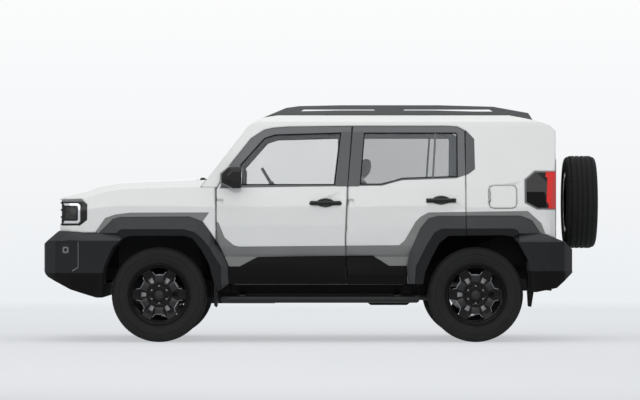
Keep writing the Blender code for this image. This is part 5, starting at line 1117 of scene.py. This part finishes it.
def build_pivots(finishes):
    """Wiper pivots with their caps, beside the bonnet's rear edge."""
    for side, y in (("left", -0.600), ("right", 0.120)):
        cap = turned([(0.0001, 1.3120), (0.0220, 1.3120), (0.0240, 1.3250), (0.0200, 1.3400), (0.0120, 1.3450),
                      (0.0001, 1.3460)], (-0.985, y, 0), 24, "Z")
        on_body(cap, f"{side}_wiper_pivot", "frame", finishes["gloss"], 40)


# --- Seats and cabin -------------------------------------------------------------------------

SEAT_Y = 0.380
CLOTH_FRAMES = 16
CLOTH_VOXEL, QUICK_VOXEL = 0.012, 0.016

# Side outlines, as (x, z): cushion, back and head rest
FRONT_SEAT = {
    "cushion": [(-0.296, 0.640), (0.200, 0.612), (0.228, 0.715), (0.175, 0.742), (-0.255, 0.772), (-0.300, 0.738)],
    "back": [(0.142, 0.700), (0.246, 0.705), (0.373, 1.270), (0.360, 1.328), (0.303, 1.333), (0.262, 1.288)],
    "head": [(0.306, 1.355), (0.352, 1.355), (0.396, 1.390), (0.402, 1.490), (0.350, 1.508), (0.318, 1.482)],
}
REAR_SEAT = {
    "cushion": [(0.572, 0.690), (1.048, 0.690), (1.048, 0.772), (0.624, 0.810), (0.574, 0.782)],
    "back": [(0.992, 0.716), (1.092, 0.716), (1.208, 1.270), (1.190, 1.328), (1.144, 1.333), (1.112, 1.288)],
    "head": [(1.146, 1.355), (1.186, 1.355), (1.226, 1.390), (1.230, 1.470), (1.190, 1.488), (1.161, 1.462)],
}


def puffed(piece, pressure, cap):
    """Fills a closed pad by cloth pressure, and keeps every point within the cap of where it was."""
    modifier(piece, "REMESH", mode="VOXEL", voxel_size=CLOTH_VOXEL, use_smooth_shade=True)
    start = [point.co.copy() for point in piece.data.vertices]
    only(piece)
    cloth = piece.modifiers.new("Cloth", "CLOTH")
    cloth.settings.use_pressure = True
    cloth.settings.uniform_pressure_force = pressure
    cloth.settings.effector_weights.gravity = 0.0
    cloth.settings.quality = 4
    cloth.point_cache.frame_start, cloth.point_cache.frame_end = 1, CLOTH_FRAMES
    scene = bpy.context.scene
    for step in range(1, CLOTH_FRAMES + 1):
        scene.frame_set(step)
    bpy.ops.object.modifier_apply(modifier=cloth.name)
    scene.frame_set(1)
    for point, before in zip(piece.data.vertices, start):
        moved = point.co - before
        if moved.length > cap:
            point.co = before + moved * (cap / moved.length)
    return piece


def channels(piece, places, half, depth):
    """Sewn lines pressed into a pad from front to back: its points near each place are drawn in a little."""
    mesh = piece.data
    normals = [tuple(point.normal) for point in mesh.vertices]
    for point, normal in zip(mesh.vertices, normals):
        for place in places:
            away = abs(point.co.y - place)
            if away < half:
                point.co -= Vector(normal) * depth * (1 - away / half) ** 2
    return piece


def pad(name, outline, y_low, y_high, pressure, cap, finish, sewn):
    """One pad of a seat: its outline drawn through its width, rounded, puffed and sewn."""
    piece = slab("Y", outline, y_low, y_high)
    bevelled(piece, 0.022, 3, 40)
    puffed(piece, pressure, cap)
    middle, half = (y_low + y_high) / 2, (y_high - y_low) / 2
    lines = [middle + half * share * side for side in (-1, 1) for share in sewn]
    channels(piece, lines, 0.012, 0.006)
    modifier(piece, "SUBSURF", levels=1, render_levels=1)
    only(piece)
    bpy.ops.object.shade_smooth()
    painted(piece, name, finish)
    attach(piece, "frame")
    return piece


def posts(name, x, places, finish):
    """Head rest posts."""
    made = [turned([(0.0001, 1.300), (0.006, 1.300), (0.006, 1.400), (0.0001, 1.400)], (x, y, 0), 16, "Z")
            for y in places]
    on_body(joined(made), name, "frame", finish, 40)


def seat_base(name, low, high, finish):
    return on_body(hollowed_block(low, high, 1, 0.020, 0.006), name, "frame", finish, 40)


def build_seats(finishes, puff):
    for side, sign in (("left", -1), ("right", 1)):
        y = sign * SEAT_Y
        made = [
            pad(f"{side}_front_seat_{part}", FRONT_SEAT[part], y - half, y + half, puff, cap, finishes["fabric"], sewn)
            for part, half, cap, sewn in (("cushion", 0.236, 0.010, (0.52,)), ("back", 0.236, 0.009, (0.52,)),
                                          ("head", 0.118, 0.006, ()))
        ]
        made.append(seat_base(f"{side}_front_seat_base", (-0.215, y - 0.185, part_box(f"{side}_front_seat")[0][2]),
                              (0.135, y + 0.185, 0.632), finishes["cabin"]))
        posts(f"{side}_front_seat_posts", 0.335, (y - 0.055, y + 0.055), finishes["steel"])
        for piece in made:
            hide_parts(f"{side}_front_seat")
    made = [
        pad(f"rear_seat_{part}", REAR_SEAT[part], -0.530, 0.530, puff, 0.009, finishes["fabric"], (0.36,))
        for part in ("cushion", "back")
    ]
    for side, y in (("left", -0.330), ("right", 0.330)):
        made.append(pad(f"rear_seat_{side}_head", REAR_SEAT["head"], y - 0.118, y + 0.118, puff, 0.006,
                        finishes["fabric"], ()))
        posts(f"rear_seat_{side}_posts", 1.168, (y - 0.055, y + 0.055), finishes["steel"])
    made.append(seat_base("rear_seat_base", (0.705, -0.480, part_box("rear_seat")[0][2]), (1.045, 0.480, 0.684),
                          finishes["cabin"]))
    for piece in made:
        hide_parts("rear_seat")


# --- Painted panels --------------------------------------------------------------------------

PANELS = {
    "left_front_door": "left_front_door", "right_front_door": "right_front_door",
    "left_rear_door": "left_rear_door", "right_rear_door": "right_rear_door", "left_body_side": "frame",
    "right_body_side": "frame", "roof": "frame", "left_fender": "frame", "right_fender": "frame", "bonnet": "bonnet",
    "tailgate": "tailgate",
}


def build_panels(finishes):
    """Each panel's own surface, with its shallow steps shaded as one curve."""
    for node, body in PANELS.items():
        skin = surface_of(node)
        smooth(skin, 16)
        modifier(skin, "WEIGHTED_NORMAL", weight=80, keep_sharp=True)
        on_body(skin, f"{node}_skin", body, finishes["paint"])
        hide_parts(node)


# --- Studio --------------------------------------------------------------------------------

BACKDROP = [(-60, 0), (-20, 0), (10, 0), (20, 0), (24, 0.6), (27, 2.2), (29, 5.2), (29.8, 11), (29.8, 45)]


def direct_rays(tree):
    """1 where the camera sees the surface, straight, in a gloss or through glass; 0 for its light."""
    path = tree.nodes.new("ShaderNodeLightPath")
    return maths(tree, "MAXIMUM", path.outputs["Is Camera Ray"],
                 maths(tree, "MAXIMUM", path.outputs["Is Glossy Ray"], path.outputs["Is Transmission Ray"]))


def studio_floor(colour):
    """Floor and backdrop as one sheet, swept up behind the car; in direct view its far part shows only a painted glow,
    and the near floor is half glow, half lit by the lamps.
    """
    deselect()
    bpy.ops.mesh.primitive_grid_add(x_subdivisions=2, y_subdivisions=len(BACKDROP) - 1, size=1, location=(0, 0, 0))
    floor = bpy.context.object
    for point in floor.data.vertices:
        row = round((point.co.y + 0.5) * (len(BACKDROP) - 1))
        point.co = (point.co.x * 140, *BACKDROP[row])
    smooth(floor, 80)
    floor.name = "studio_floor"
    material, tree, principled = shader_of("Studio paper")
    where = tree.nodes.new("ShaderNodeTexCoord").outputs["Object"]
    split = tree.nodes.new("ShaderNodeSeparateXYZ")
    tree.links.new(where, split.inputs[0])
    mottle = maths(tree, "MULTIPLY", maths(tree, "SUBTRACT", noise(tree, where, 0.8), 0.5), 0.02)
    tone = blend_colours(tree, maths(tree, "ADD", mottle, 0.5, True), [v * 0.985 for v in colour[:3]] + [1.0], colour)
    tree.links.new(tone, principled.inputs["Base Color"])
    principled.inputs["Roughness"].default_value = 0.75
    principled.inputs["Specular IOR Level"].default_value = 0.15
    paper = tree.nodes.new("ShaderNodeEmission")
    # Painted light: the glow is brighter towards the front and up the backdrop, in place of how the lamps fall on the
    # paper.
    height = maths(tree, "POWER", maths(tree, "DIVIDE", split.outputs["Z"], 6.0, True), 0.75)
    near = maths(tree, "DIVIDE", maths(tree, "SUBTRACT", 10.0, split.outputs["Y"]), 12.0, True)
    ground = blend_colours(tree, near, linear(236, 239, 242), linear(250, 252, 255))
    tree.links.new(blend_colours(tree, height, ground, linear(254, 254, 254)), paper.inputs["Color"])
    away = maths(tree, "DIVIDE", split.outputs["Y"], 14.0, True)
    away = maths(tree, "ADD", maths(tree, "MULTIPLY", away, 0.5), 0.5, True)
    mix = tree.nodes.new("ShaderNodeMixShader")
    tree.links.new(maths(tree, "MULTIPLY", direct_rays(tree), away), mix.inputs[0])
    tree.links.new(principled.outputs[0], mix.inputs[1])
    tree.links.new(paper.outputs[0], mix.inputs[2])
    shown = tree.nodes.new("ShaderNodeMixShader")
    tree.links.new(tree.nodes.new("ShaderNodeNewGeometry").outputs["Backfacing"], shown.inputs[0])
    tree.links.new(mix.outputs[0], shown.inputs[1])
    tree.links.new(tree.nodes.new("ShaderNodeBsdfTransparent").outputs[0], shown.inputs[2])
    tree.links.new(shown.outputs[0], tree.nodes["Material Output"].inputs["Surface"])
    floor.data.materials.append(material)


def soft_light(name, place, aim, size, power):
    data = bpy.data.lights.new(name, "AREA")
    data.shape, data.size, data.size_y, data.energy = "RECTANGLE", size[0], size[1], power
    lamp = bpy.data.objects.new(name, data)
    bpy.context.scene.collection.objects.link(lamp)
    lamp.location = place
    lamp.rotation_euler = (Vector(aim) - Vector(place)).to_track_quat("-Z", "Y").to_euler()


def studio_world(level):
    world = bpy.data.worlds.new("Studio")
    bpy.context.scene.world = world
    world.use_nodes = True
    tree = world.node_tree
    ambient = tree.nodes["Background"]
    ambient.inputs["Color"].default_value = (0.97, 0.985, 1.0, 1)
    ambient.inputs["Strength"].default_value = level
    shown = tree.nodes.new("ShaderNodeBackground")
    shown.inputs["Color"].default_value = (1, 1, 1, 1)
    shown.inputs["Strength"].default_value = 1.0
    mix = tree.nodes.new("ShaderNodeMixShader")
    tree.links.new(direct_rays(tree), mix.inputs[0])
    tree.links.new(ambient.outputs[0], mix.inputs[1])
    tree.links.new(shown.outputs[0], mix.inputs[2])
    tree.links.new(mix.outputs[0], tree.nodes["World Output"].inputs["Surface"])


def camera():
    data = bpy.data.cameras.new("Camera")
    data.sensor_width, data.lens, data.shift_y = 36.0, 186.6, 0.0438
    data.clip_end = 400.0
    view = bpy.data.objects.new("Camera", data)
    bpy.context.scene.collection.objects.link(view)
    view.location = (-0.0213, -27.9, 0.93)
    view.rotation_euler = (math.radians(90), 0, 0)
    bpy.context.scene.camera = view


# --- Add-on --------------------------------------------------------------------------------

def swatch(name, description, *colour):
    return bpy.props.FloatVectorProperty(name=name, description=description, subtype="COLOR", size=4, min=0, max=1,
                                         default=linear(*colour))


class CarColours(bpy.types.PropertyGroup):
    paint: swatch("Paint", "Body colour", 238, 239, 237)
    cladding: swatch("Cladding", "Wheel arch flares", 67, 68, 70)
    bumper: swatch("Bumpers", "Front and rear bumpers", 34, 35, 37)
    # Painted shade: the grey that stands for the white paint's downward faces in shade, also used for painted
    # highlight lines.
    facet: swatch("Facets", "Grey painted shade on the white faces above the flares, and highlight lines", 134, 135, 134)
    lower: swatch("Lower cladding", "Doors' lower cladding and sills", 9, 9, 9)
    frame: swatch("Window frames", "Frames round the side windows", 110, 112, 114)
    cabin: swatch("Cabin", "Dashboard and inner trim", 58, 58, 60)


class CarSizes(bpy.types.PropertyGroup):
    tread_depth: bpy.props.FloatProperty(
        name="Tread depth", description="How deep the tyres' grooves are", default=0.008, min=0.002, max=0.015,
        subtype="DISTANCE", unit="LENGTH")
    cover_lift: bpy.props.FloatProperty(
        name="Cover lift", description="How far a cladding piece stands off the panel", default=0.0016, min=0.0005,
        max=0.006, subtype="DISTANCE", unit="LENGTH")
    seat_puff: bpy.props.FloatProperty(
        name="Seat puff", description="Pressure that fills the seats", default=4.0, min=0.5, max=12.0)


finishes = {}


class CAR_OT_finishes(bpy.types.Operator):
    """Make every finish and give the CAD nodes theirs"""
    bl_idname = "car.finishes"
    bl_label = "Finishes"

    def execute(self, context):
        colours = context.scene.car_colours
        finishes.update(make_finishes({name: list(getattr(colours, name)) for name in CarColours.__annotations__}))
        dress_nodes(finishes)
        return {"FINISHED"}


class CAR_OT_wheels(bpy.types.Operator):
    """Model the tyres, rims, nuts and brake discs"""
    bl_idname = "car.wheels"
    bl_label = "Wheels"

    def execute(self, context):
        build_wheels(finishes, context.scene.car_sizes.tread_depth)
        return {"FINISHED"}


class CAR_OT_cladding(bpy.types.Operator):
    """Cover the doors, sills, flares and wheelhouses with their plastic pieces, and paint grey shade on the white
    faces above them
    """
    bl_idname = "car.cladding"
    bl_label = "Cladding"

    def execute(self, context):
        build_cladding(finishes, context.scene.car_sizes.cover_lift)
        return {"FINISHED"}


class CAR_OT_windows(bpy.types.Operator):
    """Trim the windows with frames, seals, pillar film and glass bands"""
    bl_idname = "car.windows"
    bl_label = "Windows"

    def execute(self, context):
        build_windows(finishes, context.scene.car_sizes.cover_lift)
        return {"FINISHED"}


class CAR_OT_lamps(bpy.types.Operator):
    """Model the head and tail lamps"""
    bl_idname = "car.lamps"
    bl_label = "Lamps"

    def execute(self, context):
        build_head_lamps(finishes)
        build_tail_lamps(finishes)
        return {"FINISHED"}


class CAR_OT_bumpers(bpy.types.Operator):
    """Finish the bumpers and model the grille, tow eyes and what stands behind them"""
    bl_idname = "car.bumpers"
    bl_label = "Bumpers"

    def execute(self, context):
        build_bumpers(finishes, context.scene.car_sizes.cover_lift)
        build_grille(finishes)
        build_tow_eye(finishes)
        build_inner_boxes(finishes)
        return {"FINISHED"}


class CAR_OT_trim(bpy.types.Operator):
    """Model the handles, mirrors, step treads, tailgate grip, front plate and wipers"""
    bl_idname = "car.trim"
    bl_label = "Trim"

    def execute(self, context):
        for build in (build_handles, build_mirrors, build_steps, build_tail, build_front, build_wipers, build_pivots):
            build(finishes)
        return {"FINISHED"}


class CAR_OT_seats(bpy.types.Operator):
    """Pad and cover the seats"""
    bl_idname = "car.seats"
    bl_label = "Seats"

    def execute(self, context):
        build_seats(finishes, context.scene.car_sizes.seat_puff)
        return {"FINISHED"}


class CAR_OT_panels(bpy.types.Operator):
    """Give the painted panels their smoothly curved skins"""
    bl_idname = "car.panels"
    bl_label = "Painted panels"

    def execute(self, context):
        build_panels(finishes)
        return {"FINISHED"}


class CAR_OT_studio(bpy.types.Operator):
    """Set the floor, backdrop, lights, world and camera"""
    bl_idname = "car.studio"
    bl_label = "Studio"

    def execute(self, context):
        studio_floor(linear(226, 228, 232))
        studio_world(0.46)
        soft_light("Ceiling", (0, -1.0, 6.0), (0, 0, 0.8), (9, 6), 120)
        soft_light("Front side", (-2.0, -9.0, 4.5), (0, 0, 0.8), (10, 4), 165)
        soft_light("Back side", (1.0, 8.0, 4.5), (0, 0, 0.8), (10, 4), 90)
        camera()
        return {"FINISHED"}


PIECE_OPERATORS = (
    CAR_OT_finishes, CAR_OT_cladding, CAR_OT_windows, CAR_OT_wheels, CAR_OT_lamps, CAR_OT_bumpers, CAR_OT_trim,
    CAR_OT_seats, CAR_OT_panels, CAR_OT_studio,
)


class CAR_PT_dresser(bpy.types.Panel):
    """The car's pieces, one button each, with its colours and sizes"""
    bl_label = "Car"
    bl_space_type = "VIEW_3D"
    bl_region_type = "UI"
    bl_category = "Car"

    def draw(self, context):
        for operator in PIECE_OPERATORS:
            self.layout.operator(operator.bl_idname)
        for group in (context.scene.car_colours, context.scene.car_sizes):
            box = self.layout.box()
            for label in group.__annotations__:
                box.prop(group, label)


CLASSES = (CarColours, CarSizes) + PIECE_OPERATORS + (CAR_PT_dresser,)


def register():
    for kind in CLASSES:
        bpy.utils.register_class(kind)
    bpy.types.Scene.car_colours = bpy.props.PointerProperty(type=CarColours)
    bpy.types.Scene.car_sizes = bpy.props.PointerProperty(type=CarSizes)


def unregister():
    del bpy.types.Scene.car_sizes
    del bpy.types.Scene.car_colours
    for kind in reversed(CLASSES):
        bpy.utils.unregister_class(kind)


def main():
    register()
    bpy.context.scene.view_settings.view_transform = "Standard"
    for operator in PIECE_OPERATORS:
        group, name = operator.bl_idname.split(".")
        getattr(getattr(bpy.ops, group), name)()


if __name__ == "__main__":
    main()
